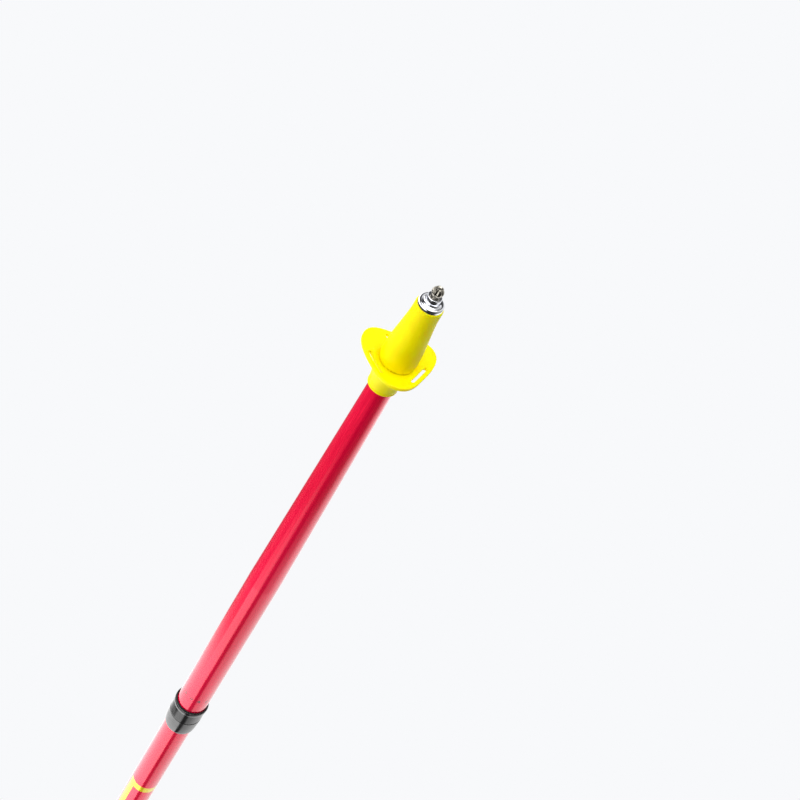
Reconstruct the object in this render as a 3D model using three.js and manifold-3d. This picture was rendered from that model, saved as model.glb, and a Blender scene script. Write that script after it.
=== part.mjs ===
// Telescopic ski pole for a child, standing upright on its tip.
// Millimetres, +Z up the shaft, +Y towards the back of the grip, where the wrist strap hangs.
// The origin is the middle of the steel stud's flat end.
import * as THREE from "three";
import { mergeVertices } from "three/addons/utils/BufferGeometryUtils.js";
import Module from "manifold-3d";

const wasm = await Module();
wasm.setup();

// ---- driving dimensions -------------------------------------------------------------------
const POLE_LENGTH = 880; // stud end to grip top, at the middle of the length adjustment
const LOWER_OD = 16; // straight part of the lower tube
const LOWER_WALL = 0.55;
const UPPER_OD = 14.8;
const UPPER_WALL = 0.9;
const STRAP_WIDTH = 18;
const STRAP_THICKNESS = 1.5;

const SIDES = 36; // facets round a turned piece
const FIT = 0.05; // radial clearance of pieces that fit or slide in one another
const SEAT = 0.1; // axial gap between pieces that rest on one another

// heights along the shaft
const FERRULE_EDGE_Z = 10.6;
const STUD_TOP_Z = 15;
const FERRULE_TOP_Z = 22;
const SHOULDER_Z = 47.3; // where the basket rests on the tip cone
const SKIRT_END_Z = 56;
const HUB_END_Z = 64.2;
const TUBE_FOOT_Z = 30;
const TAPER_END_Z = 216;
const COLLAR_Z = 326.3;
const LOWER_TUBE_TOP_Z = 345;
const COLLAR_TOP_Z = 347.5;
const UPPER_TUBE_FOOT_Z = 284;
const GRIP_FOOT_Z = POLE_LENGTH - 114;
const HEAD_Z = POLE_LENGTH - 42;
const UPPER_TUBE_TOP_Z = POLE_LENGTH - 38;
const HEAD_TOP_Z = POLE_LENGTH - 8.2;

// radii that several pieces share
const LOWER_R = LOWER_OD / 2;
const BORE_R = LOWER_R - LOWER_WALL;
const UPPER_R = UPPER_OD / 2;
const UPPER_BORE_R = UPPER_R - UPPER_WALL;
const TUBE_FOOT_R = 5.52; // lower tube at its narrow end
const STUD_SHANK_R = 1.7;
const FERRULE_SPIGOT_R = 4.6;
const CONE_MAX_R = 8.5;
const SKIRT_R = 6.65;
const SPINDLE_R = 2.5;
const LINER_R = 9.2; // plastic liner between tube and soft grip
const HEAD_R = 17;
const CAP_BOSS_R = 4;

// strap pin and the recess behind the grip's head that it crosses
const PIN_R = 1.5;
const PIN_Y = 10;
const PIN_Z = POLE_LENGTH - 23;
const RECESS_Y = PIN_Y - 4.4;
const RECESS_FLOOR_Z = POLE_LENGTH - 36.5;
const RECESS_ROOF_Z = POLE_LENGTH - 11;
const STRAP_CORE_R = PIN_R + 0.1 + STRAP_THICKNESS / 2; // the band's middle line round the pin

// ---- helpers ------------------------------------------------------------------------------
const group = new THREE.Group();

function material(colour, roughness, metalness = 0) {
  return new THREE.MeshStandardMaterial({ color: colour, roughness, metalness });
}

function addPiece(name, geometry, look) {
  const mesh = new THREE.Mesh(geometry, look);
  mesh.name = name;
  group.add(mesh);
}

// Turns a closed [radius, height] outline about the Z axis, with its faces pointing out.
function turned(outline, sides = SIDES) {
  const points = outline.map(([r, z]) => new THREE.Vector2(r, z));
  if (THREE.ShapeUtils.area(points) < 0) points.reverse();
  if (points[0].x > 0) points.push(points[0].clone());
  return new THREE.LatheGeometry(points, sides).rotateX(Math.PI / 2);
}

// [radius, height] points evenly along a curve through a few given ones
function smoothRun(points, steps) {
  const curve = new THREE.SplineCurve(points.map(([r, z]) => new THREE.Vector2(r, z)));
  return curve.getPoints(steps).map((point) => [point.x, point.y]);
}

// [radius, height] points on an arc, angles in degrees from straight out, anticlockwise
function arcRun(centreR, centreZ, radius, fromDegrees, toDegrees, steps) {
  const run = [];
  for (let i = 0; i <= steps; i += 1) {
    const angle = THREE.MathUtils.degToRad(fromDegrees + ((toDegrees - fromDegrees) * i) / steps);
    run.push([centreR + radius * Math.cos(angle), centreZ + radius * Math.sin(angle)]);
  }
  return run;
}

function tube(outerR, innerR, z0, z1) {
  return turned([[innerR, z0], [outerR, z0], [outerR, z1], [innerR, z1]]);
}

function solidOf(geometry) {
  const bare = geometry.index ? geometry.toNonIndexed() : geometry.clone();
  bare.deleteAttribute("normal");
  bare.deleteAttribute("uv");
  const merged = mergeVertices(bare, 1e-4);
  const corners = [];
  for (let i = 0; i < merged.index.count; i += 3) {
    const [a, b, c] = [0, 1, 2].map((k) => merged.index.getX(i + k));
    if (a !== b && b !== c && c !== a) corners.push(a, b, c);
  }
  const vertProperties = new Float32Array(merged.attributes.position.array);
  return new wasm.Manifold(new wasm.Mesh({ numProp: 3, vertProperties, triVerts: new Uint32Array(corners) }));
}

function geometryOf(solid) {
  const mesh = solid.getMesh();
  const geometry = new THREE.BufferGeometry();
  geometry.setAttribute("position", new THREE.BufferAttribute(new Float32Array(mesh.vertProperties), 3));
  geometry.setIndex(new THREE.BufferAttribute(new Uint32Array(mesh.triVerts), 1));
  geometry.computeVertexNormals();
  return geometry;
}

// A block between two corners
function block([x0, y0, z0], [x1, y1, z1]) {
  const box = new THREE.BoxGeometry(x1 - x0, y1 - y0, z1 - z0);
  return box.translate((x0 + x1) / 2, (y0 + y1) / 2, (z0 + z1) / 2);
}

// Radius of the lower tube's outside at a height on its taper
function taperR(z) {
  const share = (z - TUBE_FOOT_Z) / (TAPER_END_Z - TUBE_FOOT_Z);
  return TUBE_FOOT_R + (LOWER_R - TUBE_FOOT_R) * share;
}

// ---- looks --------------------------------------------------------------------------------
const redPaint = () => material(0xf0143c, 0.28, 0.3);
const yellowPlastic = () => material(0xf5e900, 0.45);
const blackPlastic = () => material(0x1c1c1e, 0.45);
const steel = () => material(0xa39b8b, 0.35, 1);
const chrome = () => material(0xd9dbe0, 0.08, 1);
const greyPlastic = () => material(0x8c8c88, 0.5);
const softBlack = () => material(0x232326, 0.75);
const blackWebbing = () => material(0x18181a, 0.9);

// ---- tip ----------------------------------------------------------------------------------
function makeStud() {
  const headR = 2.75;
  const flatR = 1.3;
  const centreZ = Math.sqrt(headR ** 2 - flatR ** 2);
  const lowest = THREE.MathUtils.radToDeg(Math.asin(-centreZ / headR));
  const highest = THREE.MathUtils.radToDeg(Math.acos(STUD_SHANK_R / headR));
  return turned([
    [0, 0],
    ...arcRun(0, centreZ, headR, lowest, highest, 7),
    [STUD_SHANK_R, STUD_TOP_Z],
    [0, STUD_TOP_Z],
  ]);
}

// A short chrome cup: a sleeve round the stud, a shallow bowl, a rounded lip and a spigot
function makeFerrule() {
  const outerR = 5.95;
  const lipR = 1;
  const lipCentreZ = FERRULE_EDGE_Z - lipR;
  const noseZ = 5.2;
  const noseR = 3.3;
  const boreR = STUD_SHANK_R + FIT;
  return turned([
    [0, STUD_TOP_Z + SEAT],
    [boreR, STUD_TOP_Z + SEAT],
    [boreR, noseZ],
    [noseR, noseZ],
    [noseR, noseZ + 2.6],
    [noseR + 0.2, noseZ + 3.2],
    ...arcRun(outerR - lipR, lipCentreZ, lipR, 225, 360, 7),
    [outerR, FERRULE_EDGE_Z],
    [FERRULE_SPIGOT_R, FERRULE_EDGE_Z],
    [FERRULE_SPIGOT_R, FERRULE_TOP_Z],
    [0, FERRULE_TOP_Z],
  ]);
}

// Bullet-shaped plastic tip: socket for the ferrule below, socket for the tube above
function makeTipCone() {
  const footZ = FERRULE_EDGE_Z + SEAT;
  const ferruleSocketZ = FERRULE_TOP_Z + SEAT;
  const tubeSocketZ = TUBE_FOOT_Z - SEAT;
  const ferruleSocketR = FERRULE_SPIGOT_R + FIT;
  const side = smoothRun([
    [6.42, 11.5], [6.5, 18], [7.35, 27], [8.3, 36], [8.6, 42.5], [CONE_MAX_R, SHOULDER_Z],
  ], 10);
  return turned([
    [0, ferruleSocketZ],
    [ferruleSocketR, ferruleSocketZ],
    [ferruleSocketR, footZ],
    [6.15, footZ],
    ...side,
    [SKIRT_R, SHOULDER_Z],
    [SKIRT_R, SKIRT_END_Z],
    [taperR(SKIRT_END_Z) + FIT, SKIRT_END_Z],
    [taperR(tubeSocketZ) + FIT, tubeSocketZ],
    [0, tubeSocketZ],
  ]);
}

// Three-lobed plate with a straight slot behind each waist, dished towards the tip
const LOBES = 3;
const LOBE_ANGLE = THREE.MathUtils.degToRad(250); // the middle of one lobe, from +X towards +Y
const PLATE_MEAN_R = 16.4;
const LOBE_SWELL = 2.2;
const LOBE_NARROWING = 0.15;
const PLATE_THICKNESS = 1.8;
const PLATE_SLOPE = 0.27; // how far the plate falls for each millimetre outwards
const SLOT_MID_R = 11.6;
const SLOT_HALF_WIDTH = 0.75;
const SLOT_HALF_LENGTH = 6.2;
const HUB_ROOT_R = 10.6;

// Distance of the rim from the axis: a round plate with three blunt lobes
function plateR(angle) {
  const turn = LOBES * (angle - LOBE_ANGLE);
  return PLATE_MEAN_R + LOBE_SWELL * Math.cos(turn) + LOBE_NARROWING * Math.cos(2 * turn);
}

// A straight slot with round ends, square to the radius at its middle
function slotOutline(middle) {
  const centre = new THREE.Vector2(Math.cos(middle), Math.sin(middle)).multiplyScalar(SLOT_MID_R);
  const halfRun = SLOT_HALF_LENGTH - SLOT_HALF_WIDTH;
  const along = new THREE.Vector2(-Math.sin(middle), Math.cos(middle)).multiplyScalar(halfRun);
  const [far, near] = [centre.clone().add(along), centre.clone().sub(along)];
  const hole = new THREE.Path();
  hole.absarc(far.x, far.y, SLOT_HALF_WIDTH, middle, middle + Math.PI, false);
  hole.absarc(near.x, near.y, SLOT_HALF_WIDTH, middle + Math.PI, middle + 2 * Math.PI, false);
  return hole;
}

function makePlate() {
  const outline = new THREE.Shape();
  const steps = 54;
  for (let i = 0; i < steps; i += 1) {
    const angle = (2 * Math.PI * i) / steps;
    const [x, y] = [plateR(angle) * Math.cos(angle), plateR(angle) * Math.sin(angle)];
    if (i === 0) outline.moveTo(x, y);
    else outline.lineTo(x, y);
  }
  for (let i = 0; i < LOBES; i += 1) {
    outline.holes.push(slotOutline(LOBE_ANGLE + ((2 * i + 1) * Math.PI) / LOBES));
  }
  const centre = new THREE.Path();
  centre.absarc(0, 0, CONE_MAX_R + 0.5, 0, 2 * Math.PI, true);
  outline.holes.push(centre);
  const options = { depth: PLATE_THICKNESS, bevelEnabled: false, curveSegments: 7 };
  const plate = new THREE.ExtrudeGeometry(outline, options);
  const position = plate.attributes.position;
  for (let i = 0; i < position.count; i += 1) {
    const fall = PLATE_SLOPE * (Math.hypot(position.getX(i), position.getY(i)) - CONE_MAX_R);
    position.setZ(i, position.getZ(i) + SHOULDER_Z + SEAT - fall);
  }
  return plate;
}

// Trumpet-shaped hub: wide under the plate, narrow where the tube leaves it
function makeHub() {
  const rootZ = SHOULDER_Z + SEAT + PLATE_THICKNESS - PLATE_SLOPE * (HUB_ROOT_R - CONE_MAX_R);
  const flare = new THREE.QuadraticBezierCurve(
    new THREE.Vector2(HUB_ROOT_R, rootZ - 0.4),
    new THREE.Vector2(7.6, 55),
    new THREE.Vector2(6.95, HUB_END_Z),
  );
  const skirtBoreR = SKIRT_R + FIT;
  const tubeBoreR = taperR(HUB_END_Z) + FIT;
  return turned([
    [skirtBoreR, SHOULDER_Z + SEAT],
    [CONE_MAX_R + 0.6, SHOULDER_Z + SEAT],
    ...flare.getPoints(6).map((point) => [point.x, point.y]),
    [tubeBoreR, HUB_END_Z],
    [tubeBoreR, SKIRT_END_Z + SEAT],
    [skirtBoreR, SKIRT_END_Z + SEAT],
  ]);
}

function makeBasket() {
  return geometryOf(solidOf(makePlate()).add(solidOf(makeHub())));
}

// ---- lower section ------------------------------------------------------------------------
function makeLowerTube() {
  return turned([
    [TUBE_FOOT_R - LOWER_WALL, TUBE_FOOT_Z],
    [TUBE_FOOT_R, TUBE_FOOT_Z],
    [LOWER_R, TAPER_END_Z],
    [LOWER_R, LOWER_TUBE_TOP_Z],
    [BORE_R, LOWER_TUBE_TOP_Z],
    [BORE_R, TAPER_END_Z],
  ]);
}

// Bullet-shaped end ring: over the lower tube, with a lip that guides the upper tube
function makeCollar() {
  const boreR = LOWER_R + FIT;
  const lipZ = LOWER_TUBE_TOP_Z + SEAT;
  const lipBoreR = UPPER_R + FIT;
  const back = smoothRun([
    [9.02, COLLAR_Z + 2], [8.86, COLLAR_TOP_Z - 12.5], [8.62, COLLAR_TOP_Z - 5.5],
    [8.3, COLLAR_TOP_Z - 1.9], [7.75, COLLAR_TOP_Z],
  ], 6);
  return turned([
    [boreR, COLLAR_Z],
    [8.8, COLLAR_Z],
    [9.02, COLLAR_Z + 0.4],
    ...back,
    [lipBoreR, COLLAR_TOP_Z],
    [lipBoreR, lipZ],
    [boreR, lipZ],
  ]);
}

function makeCollarSeal() {
  const thickness = 0.7;
  return tube(8.75, LOWER_R + FIT, COLLAR_Z - SEAT - thickness, COLLAR_Z - SEAT);
}

// ---- twist lock ---------------------------------------------------------------------------
// Heights below are counted from the upper tube's foot.
const FLANGE_THICKNESS = 2.5;
const WASHER_THICKNESS = 0.9;
const SLEEVE_LENGTH = 26;
const SLEEVE_TOP_Z = UPPER_TUBE_FOOT_Z - FLANGE_THICKNESS - WASHER_THICKNESS - 3 * SEAT;
const SLEEVE_FOOT_Z = SLEEVE_TOP_Z - SLEEVE_LENGTH;
const TAPER_MOUTH_R = 4.9; // the sleeve's bore at its foot
const TAPER_THROAT_R = 3.3;
const TAPER_LENGTH = 18;
const CONE_TRAVEL = 1.75; // one turn of the spindle's thread
const CONE_FOOT_Z = SLEEVE_FOOT_Z - 1.5;
const STOP_WASHER_TOP_Z = CONE_FOOT_Z - CONE_TRAVEL - 0.6;
const STOP_WASHER_R = 5.2;
const NUT_THICKNESS = 3;

function makeSpindlePlug() {
  const plugTopZ = UPPER_TUBE_FOOT_Z + 18;
  const flangeZ = UPPER_TUBE_FOOT_Z - SEAT;
  const boreR = SPINDLE_R + FIT;
  return turned([
    [boreR, flangeZ - FLANGE_THICKNESS],
    [UPPER_R - FIT, flangeZ - FLANGE_THICKNESS],
    [UPPER_R - FIT, flangeZ],
    [UPPER_BORE_R - FIT, flangeZ],
    [UPPER_BORE_R - FIT, plugTopZ],
    [boreR, plugTopZ],
  ]);
}

function makeSpindle() {
  const topZ = UPPER_TUBE_FOOT_Z + 16;
  const footZ = STOP_WASHER_TOP_Z - WASHER_THICKNESS - NUT_THICKNESS - 1;
  const chamfer = 0.5;
  return turned([
    [0, footZ],
    [SPINDLE_R - chamfer, footZ],
    [SPINDLE_R, footZ + chamfer],
    [SPINDLE_R, topZ],
    [0, topZ],
  ]);
}

// Split plastic sleeve with a tapered bore; one slit from end to end lets it spread
function makeExpanderSleeve() {
  const slit = 1.6;
  const outerR = BORE_R - 0.07;
  const ring = turned([
    [TAPER_MOUTH_R, SLEEVE_FOOT_Z],
    [outerR - 0.5, SLEEVE_FOOT_Z],
    [outerR, SLEEVE_FOOT_Z + 1],
    [outerR, SLEEVE_TOP_Z - 1],
    [outerR - 0.5, SLEEVE_TOP_Z],
    [TAPER_THROAT_R, SLEEVE_TOP_Z],
    [TAPER_THROAT_R, SLEEVE_FOOT_Z + TAPER_LENGTH],
  ]);
  const cut = block([0, -slit / 2, SLEEVE_FOOT_Z - 1], [BORE_R, slit / 2, SLEEVE_TOP_Z + 1]);
  return geometryOf(solidOf(ring).subtract(solidOf(cut)));
}

// Wedge nut on the spindle's thread, drawn up into the sleeve's taper
function makeExpanderCone() {
  const slope = (TAPER_MOUTH_R - TAPER_THROAT_R) / TAPER_LENGTH;
  const topZ = SLEEVE_FOOT_Z + TAPER_LENGTH - 4;
  const sideR = (z) => TAPER_MOUTH_R - slope * (z - SLEEVE_FOOT_Z) - 2 * FIT;
  const boreR = SPINDLE_R + FIT;
  return turned([
    [boreR, CONE_FOOT_Z],
    [sideR(CONE_FOOT_Z), CONE_FOOT_Z],
    [sideR(topZ), topZ],
    [boreR, topZ],
  ]);
}

function makeStopNut() {
  const topZ = STOP_WASHER_TOP_Z - WASHER_THICKNESS - SEAT;
  const acrossCornersR = 4.6;
  const hexagon = new THREE.Shape();
  for (let i = 0; i < 6; i += 1) {
    const angle = (i * Math.PI) / 3;
    const corner = [acrossCornersR * Math.cos(angle), acrossCornersR * Math.sin(angle)];
    if (i === 0) hexagon.moveTo(...corner);
    else hexagon.lineTo(...corner);
  }
  const bore = new THREE.Path();
  bore.absarc(0, 0, SPINDLE_R + FIT * 2, 0, 2 * Math.PI, true);
  hexagon.holes.push(bore);
  const options = { depth: NUT_THICKNESS, bevelEnabled: false, curveSegments: SIDES / 2 };
  return new THREE.ExtrudeGeometry(hexagon, options).translate(0, 0, topZ - NUT_THICKNESS);
}

// ---- grip ---------------------------------------------------------------------------------
// Plastic core: a liner round the upper tube, and a round head that holds the strap pin
function makeGripCore() {
  const boreR = UPPER_R + FIT;
  const bossHoleR = CAP_BOSS_R + FIT;
  const body = turned([
    [0, UPPER_TUBE_TOP_Z + SEAT],
    [boreR, UPPER_TUBE_TOP_Z + SEAT],
    [boreR, GRIP_FOOT_Z + 1],
    [LINER_R, GRIP_FOOT_Z + 1],
    [LINER_R, HEAD_Z],
    ...arcRun(HEAD_R - 2.4, HEAD_Z + 2.4, 2.4, -90, 0, 4),
    ...arcRun(HEAD_R - 8, HEAD_TOP_Z - 8, 8, 0, 76, 6),
    [bossHoleR, HEAD_TOP_Z],
    [bossHoleR, HEAD_TOP_Z - 6],
    [0, HEAD_TOP_Z - 6],
  ]);
  const recessHalfWidth = STRAP_WIDTH / 2 + 0.6;
  const recess = block(
    [-recessHalfWidth, RECESS_Y, RECESS_FLOOR_Z],
    [recessHalfWidth, HEAD_R + 1, RECESS_ROOF_Z],
  );
  const pinHole = new THREE.CylinderGeometry(PIN_R + FIT, PIN_R + FIT, 2 * HEAD_R + 2, 24);
  pinHole.rotateZ(Math.PI / 2).translate(0, PIN_Y, PIN_Z);
  return geometryOf(solidOf(body).subtract(solidOf(recess)).subtract(solidOf(pinHole)));
}

// Soft grip: a rim below for the edge of the hand, and finger ridges across the front
function makeGripSleeve() {
  const footZ = GRIP_FOOT_Z;
  const topZ = HEAD_Z - SEAT;
  const length = topZ - footZ;
  const ridges = 4;
  const ridgeHeight = 1.1;
  const boreR = LINER_R + FIT;
  const side = smoothRun([
    [15.4, footZ], [17, footZ + 2.4], [16.4, footZ + 5.2], [13.9, footZ + 9],
    [13.3, footZ + length * 0.35], [13.9, footZ + length * 0.65], [15.2, topZ - 3], [15.4, topZ],
  ], 22);
  const sleeve = turned([[boreR, footZ], ...side, [boreR, topZ]]);
  const position = sleeve.attributes.position;
  for (let i = 0; i < position.count; i += 1) {
    const [x, y, z] = [position.getX(i), position.getY(i), position.getZ(i)];
    const radius = Math.hypot(x, y);
    if (radius < boreR + 1) continue;
    const front = Math.max(0, -y / radius) ** 2;
    const along = THREE.MathUtils.clamp((z - footZ - 8) / (length - 12), 0, 1);
    const swell = 1 + (ridgeHeight * front * Math.sin(2 * Math.PI * ridges * along)) / radius;
    position.setXY(i, x * swell, y * swell);
  }
  return sleeve;
}

function makeGripCap() {
  const footZ = HEAD_TOP_Z + SEAT;
  const rimR = 10.9;
  const edge = new THREE.QuadraticBezierCurve(
    new THREE.Vector2(rimR, footZ + 1.5),
    new THREE.Vector2(rimR, POLE_LENGTH),
    new THREE.Vector2(6, POLE_LENGTH),
  );
  return turned([
    [0, HEAD_TOP_Z - 6 + SEAT],
    [CAP_BOSS_R, HEAD_TOP_Z - 6 + SEAT],
    [CAP_BOSS_R, footZ],
    [rimR, footZ],
    ...edge.getPoints(6).map((point) => [point.x, point.y]),
    [0, POLE_LENGTH],
  ]);
}

function makeStrapPin() {
  const halfLength = 12.5;
  const pin = new THREE.CylinderGeometry(PIN_R, PIN_R, 2 * halfLength, 24);
  return pin.rotateZ(Math.PI / 2).translate(0, PIN_Y, PIN_Z);
}

// ---- wrist strap --------------------------------------------------------------------------
// The band lies in the YZ plane: round the pin, out over the head's edge, then straight down
// as two legs side by side, and open below into the loop for the hand.
const LEAVE_ANGLE = THREE.MathUtils.degToRad(42); // from straight down, as the band leaves the pin
const LEAVE_LENGTH = 17; // straight stretch from the pin to the bend over the head's edge
const BEND_R = 8; // of the line midway between the two legs
const LEGS_Y = PIN_Y + LEAVE_LENGTH * Math.sin(LEAVE_ANGLE) + BEND_R * (1 - Math.cos(LEAVE_ANGLE));
const LEGS_TOP_Z = PIN_Z - LEAVE_LENGTH * Math.cos(LEAVE_ANGLE) - BEND_R * Math.sin(LEAVE_ANGLE);
const LEGS_FOOT_Z = POLE_LENGTH - 104;
const LOOP_MID_Y = 37;
const LOOP_MID_Z = POLE_LENGTH - 172;
const LOOP_HALF_WIDTH = 24;
const LOOP_FOOT_Z = POLE_LENGTH - 204;

// The band's middle line, clockwise: up and over the pin, down the outer leg, round the loop, up
function strapLine(curveSteps) {
  const r = STRAP_CORE_R;
  const bendY = LEGS_Y - BEND_R;
  const [outerY, innerY] = [LEGS_Y + r, LEGS_Y - r];
  const [rightY, leftY] = [LOOP_MID_Y + LOOP_HALF_WIDTH, LOOP_MID_Y - LOOP_HALF_WIDTH];
  const upperPull = 34; // how far each curve runs on before it turns
  const lowerPull = (LOOP_MID_Z - LOOP_FOOT_Z) * 0.6;
  const sidePull = LOOP_HALF_WIDTH * 0.6;
  const [midY, midZ, footZ] = [LOOP_MID_Y, LOOP_MID_Z, LOOP_FOOT_Z];
  const line = new THREE.Path();
  line.absarc(PIN_Y, PIN_Z, r, LEAVE_ANGLE + Math.PI, LEAVE_ANGLE, true);
  line.absarc(bendY, LEGS_TOP_Z, BEND_R + r, LEAVE_ANGLE, 0, true);
  line.lineTo(outerY, LEGS_FOOT_Z);
  line.bezierCurveTo(outerY, LEGS_FOOT_Z - upperPull, rightY, midZ + upperPull, rightY, midZ);
  line.bezierCurveTo(rightY, midZ - lowerPull, midY + sidePull, footZ, midY, footZ);
  line.bezierCurveTo(midY - sidePull, footZ, leftY, midZ - lowerPull, leftY, midZ);
  line.bezierCurveTo(leftY, midZ + upperPull, innerY, LEGS_FOOT_Z - upperPull, innerY, LEGS_FOOT_Z);
  line.absarc(bendY, LEGS_TOP_Z, BEND_R - r, 0, LEAVE_ANGLE, false);
  return line.getPoints(curveSteps);
}

// A closed path at a constant distance to the right of the middle line, as it runs
function besideLine(line, distance) {
  return line.map((point, i) => {
    const before = line[(i + line.length - 1) % line.length];
    const after = line[(i + 1) % line.length];
    const along = after.clone().sub(before).normalize();
    return new THREE.Vector2(point.x + along.y * distance, point.y - along.x * distance);
  });
}

function makeStrap() {
  const line = strapLine(8);
  const band = new THREE.Shape(besideLine(line, -STRAP_THICKNESS / 2).reverse());
  band.holes.push(new THREE.Path(besideLine(line, STRAP_THICKNESS / 2)));
  const geometry = new THREE.ExtrudeGeometry(band, { depth: STRAP_WIDTH, bevelEnabled: false });
  // the drawing's axes become Y and Z, and its depth becomes X
  const turn = new THREE.Matrix4().makeBasis(
    new THREE.Vector3(0, 1, 0),
    new THREE.Vector3(0, 0, 1),
    new THREE.Vector3(1, 0, 0),
  );
  return geometry.applyMatrix4(turn).translate(-STRAP_WIDTH / 2, 0, 0);
}

// Flat plastic ring round both legs of the strap; it slides down to close the loop
function makeKeeper() {
  const height = 12;
  const wall = 1.8;
  const gap = 0.35;
  const halfX = STRAP_WIDTH / 2 + gap;
  const halfY = STRAP_CORE_R + STRAP_THICKNESS / 2 + gap;
  const outline = roundedRectangle(halfX + wall, halfY + wall, 2.2);
  outline.holes.push(roundedRectangle(halfX, halfY, 0.6));
  const ring = new THREE.ExtrudeGeometry(outline, { depth: height, bevelEnabled: false, curveSegments: 4 });
  return ring.translate(0, LEGS_Y, LEGS_TOP_Z - height);
}

function roundedRectangle(halfX, halfY, cornerR) {
  const outline = new THREE.Shape();
  const corners = [[1, 1], [-1, 1], [-1, -1], [1, -1]];
  corners.forEach(([sideX, sideY], i) => {
    const start = (i * Math.PI) / 2;
    const [x, y] = [sideX * (halfX - cornerR), sideY * (halfY - cornerR)];
    outline.absarc(x, y, cornerR, start, start + Math.PI / 2, false);
  });
  return outline;
}

// ---- assembly -----------------------------------------------------------------------------
addPiece("steel_stud", makeStud(), steel());
addPiece("tip_ferrule", makeFerrule(), chrome());
addPiece("tip_cone", makeTipCone(), yellowPlastic());
addPiece("basket", makeBasket(), yellowPlastic());
addPiece("lower_tube", makeLowerTube(), redPaint());
addPiece("tube_collar", makeCollar(), blackPlastic());
addPiece("collar_seal", makeCollarSeal(), softBlack());

addPiece("upper_tube", tube(UPPER_R, UPPER_BORE_R, UPPER_TUBE_FOOT_Z, UPPER_TUBE_TOP_Z), redPaint());
addPiece("spindle_plug", makeSpindlePlug(), greyPlastic());
addPiece("spindle", makeSpindle(), steel());
addPiece(
  "thrust_washer",
  tube(UPPER_R - 1, SPINDLE_R + FIT, SLEEVE_TOP_Z + SEAT, SLEEVE_TOP_Z + SEAT + WASHER_THICKNESS),
  steel(),
);
addPiece("expander_sleeve", makeExpanderSleeve(), blackPlastic());
addPiece("expander_cone", makeExpanderCone(), greyPlastic());
addPiece(
  "stop_washer",
  tube(STOP_WASHER_R, SPINDLE_R + FIT, STOP_WASHER_TOP_Z - WASHER_THICKNESS, STOP_WASHER_TOP_Z),
  steel(),
);
addPiece("stop_nut", makeStopNut(), steel());

addPiece("grip_core", makeGripCore(), blackPlastic());
addPiece("grip_sleeve", makeGripSleeve(), softBlack());
addPiece("grip_cap", makeGripCap(), yellowPlastic());
addPiece("strap_pin", makeStrapPin(), steel());
addPiece("strap_webbing", makeStrap(), blackWebbing());
addPiece("strap_keeper", makeKeeper(), blackPlastic());

export default group;
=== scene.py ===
import math

import bmesh
import bpy
from mathutils import Matrix, Vector


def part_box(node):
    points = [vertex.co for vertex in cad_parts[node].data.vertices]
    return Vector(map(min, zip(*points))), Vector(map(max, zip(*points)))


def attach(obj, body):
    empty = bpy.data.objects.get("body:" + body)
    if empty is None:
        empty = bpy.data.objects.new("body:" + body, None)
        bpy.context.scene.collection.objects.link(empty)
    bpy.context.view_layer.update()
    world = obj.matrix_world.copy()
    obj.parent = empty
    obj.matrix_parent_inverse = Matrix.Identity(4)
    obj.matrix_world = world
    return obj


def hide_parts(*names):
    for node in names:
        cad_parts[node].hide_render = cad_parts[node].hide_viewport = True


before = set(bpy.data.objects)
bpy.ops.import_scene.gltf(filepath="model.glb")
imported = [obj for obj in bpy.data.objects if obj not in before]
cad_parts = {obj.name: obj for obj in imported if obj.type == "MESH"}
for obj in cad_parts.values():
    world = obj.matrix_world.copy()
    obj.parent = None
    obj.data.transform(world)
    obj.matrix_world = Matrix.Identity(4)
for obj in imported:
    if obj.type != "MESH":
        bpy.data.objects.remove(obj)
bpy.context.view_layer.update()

# Ski pole standing on its tip: metres, +Z up the shaft, +Y towards the back of the grip.
# Outlines are drawn in millimetres and made into meshes in metres.
MM = 0.001
SIDES = 144  # columns round a turned piece
TINY = 1e-6
SHARP_ANGLE = math.radians(38)


# ---- camera
LENS_MM = 99
SENSOR_MM = 36
CLIP_RANGE = 0.01, 50
AIM = Vector((-0.01005, 0.00005, 0.06665))
CAMERA_DISTANCE = 0.959
CAMERA_AZIMUTH = math.radians(-0.417)  # of the line of sight, from +Y towards +X
CAMERA_ELEVATION = math.radians(43.466)  # the camera looks up
CAMERA_ROLL = math.radians(-148.4)


def make_camera():
    flat = math.cos(CAMERA_ELEVATION)
    across, ahead = math.sin(CAMERA_AZIMUTH), math.cos(CAMERA_AZIMUTH)
    look = Vector((flat * across, flat * ahead, math.sin(CAMERA_ELEVATION)))
    level = look.cross(Vector((0, 0, 1))).normalized()
    upright = level.cross(look)
    right = level * math.cos(CAMERA_ROLL) + upright * math.sin(CAMERA_ROLL)
    up = right.cross(look)
    camera = bpy.data.objects.new("camera", bpy.data.cameras.new("camera"))
    camera.data.lens = LENS_MM
    camera.data.sensor_width = SENSOR_MM
    camera.data.clip_start, camera.data.clip_end = CLIP_RANGE
    axes = Matrix((right, up, -look)).transposed()
    camera.matrix_world = Matrix.Translation(AIM - look * CAMERA_DISTANCE) @ axes.to_4x4()
    bpy.context.collection.objects.link(camera)
    bpy.context.scene.camera = camera


make_camera()


# ---- places taken from the frame
def span(node):
    """(lowest z, highest z, largest radius or half width) of a CAD node, in millimetres."""
    low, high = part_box(node)
    return low[2] / MM, high[2] / MM, max(high[0], -low[0]) / MM


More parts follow.
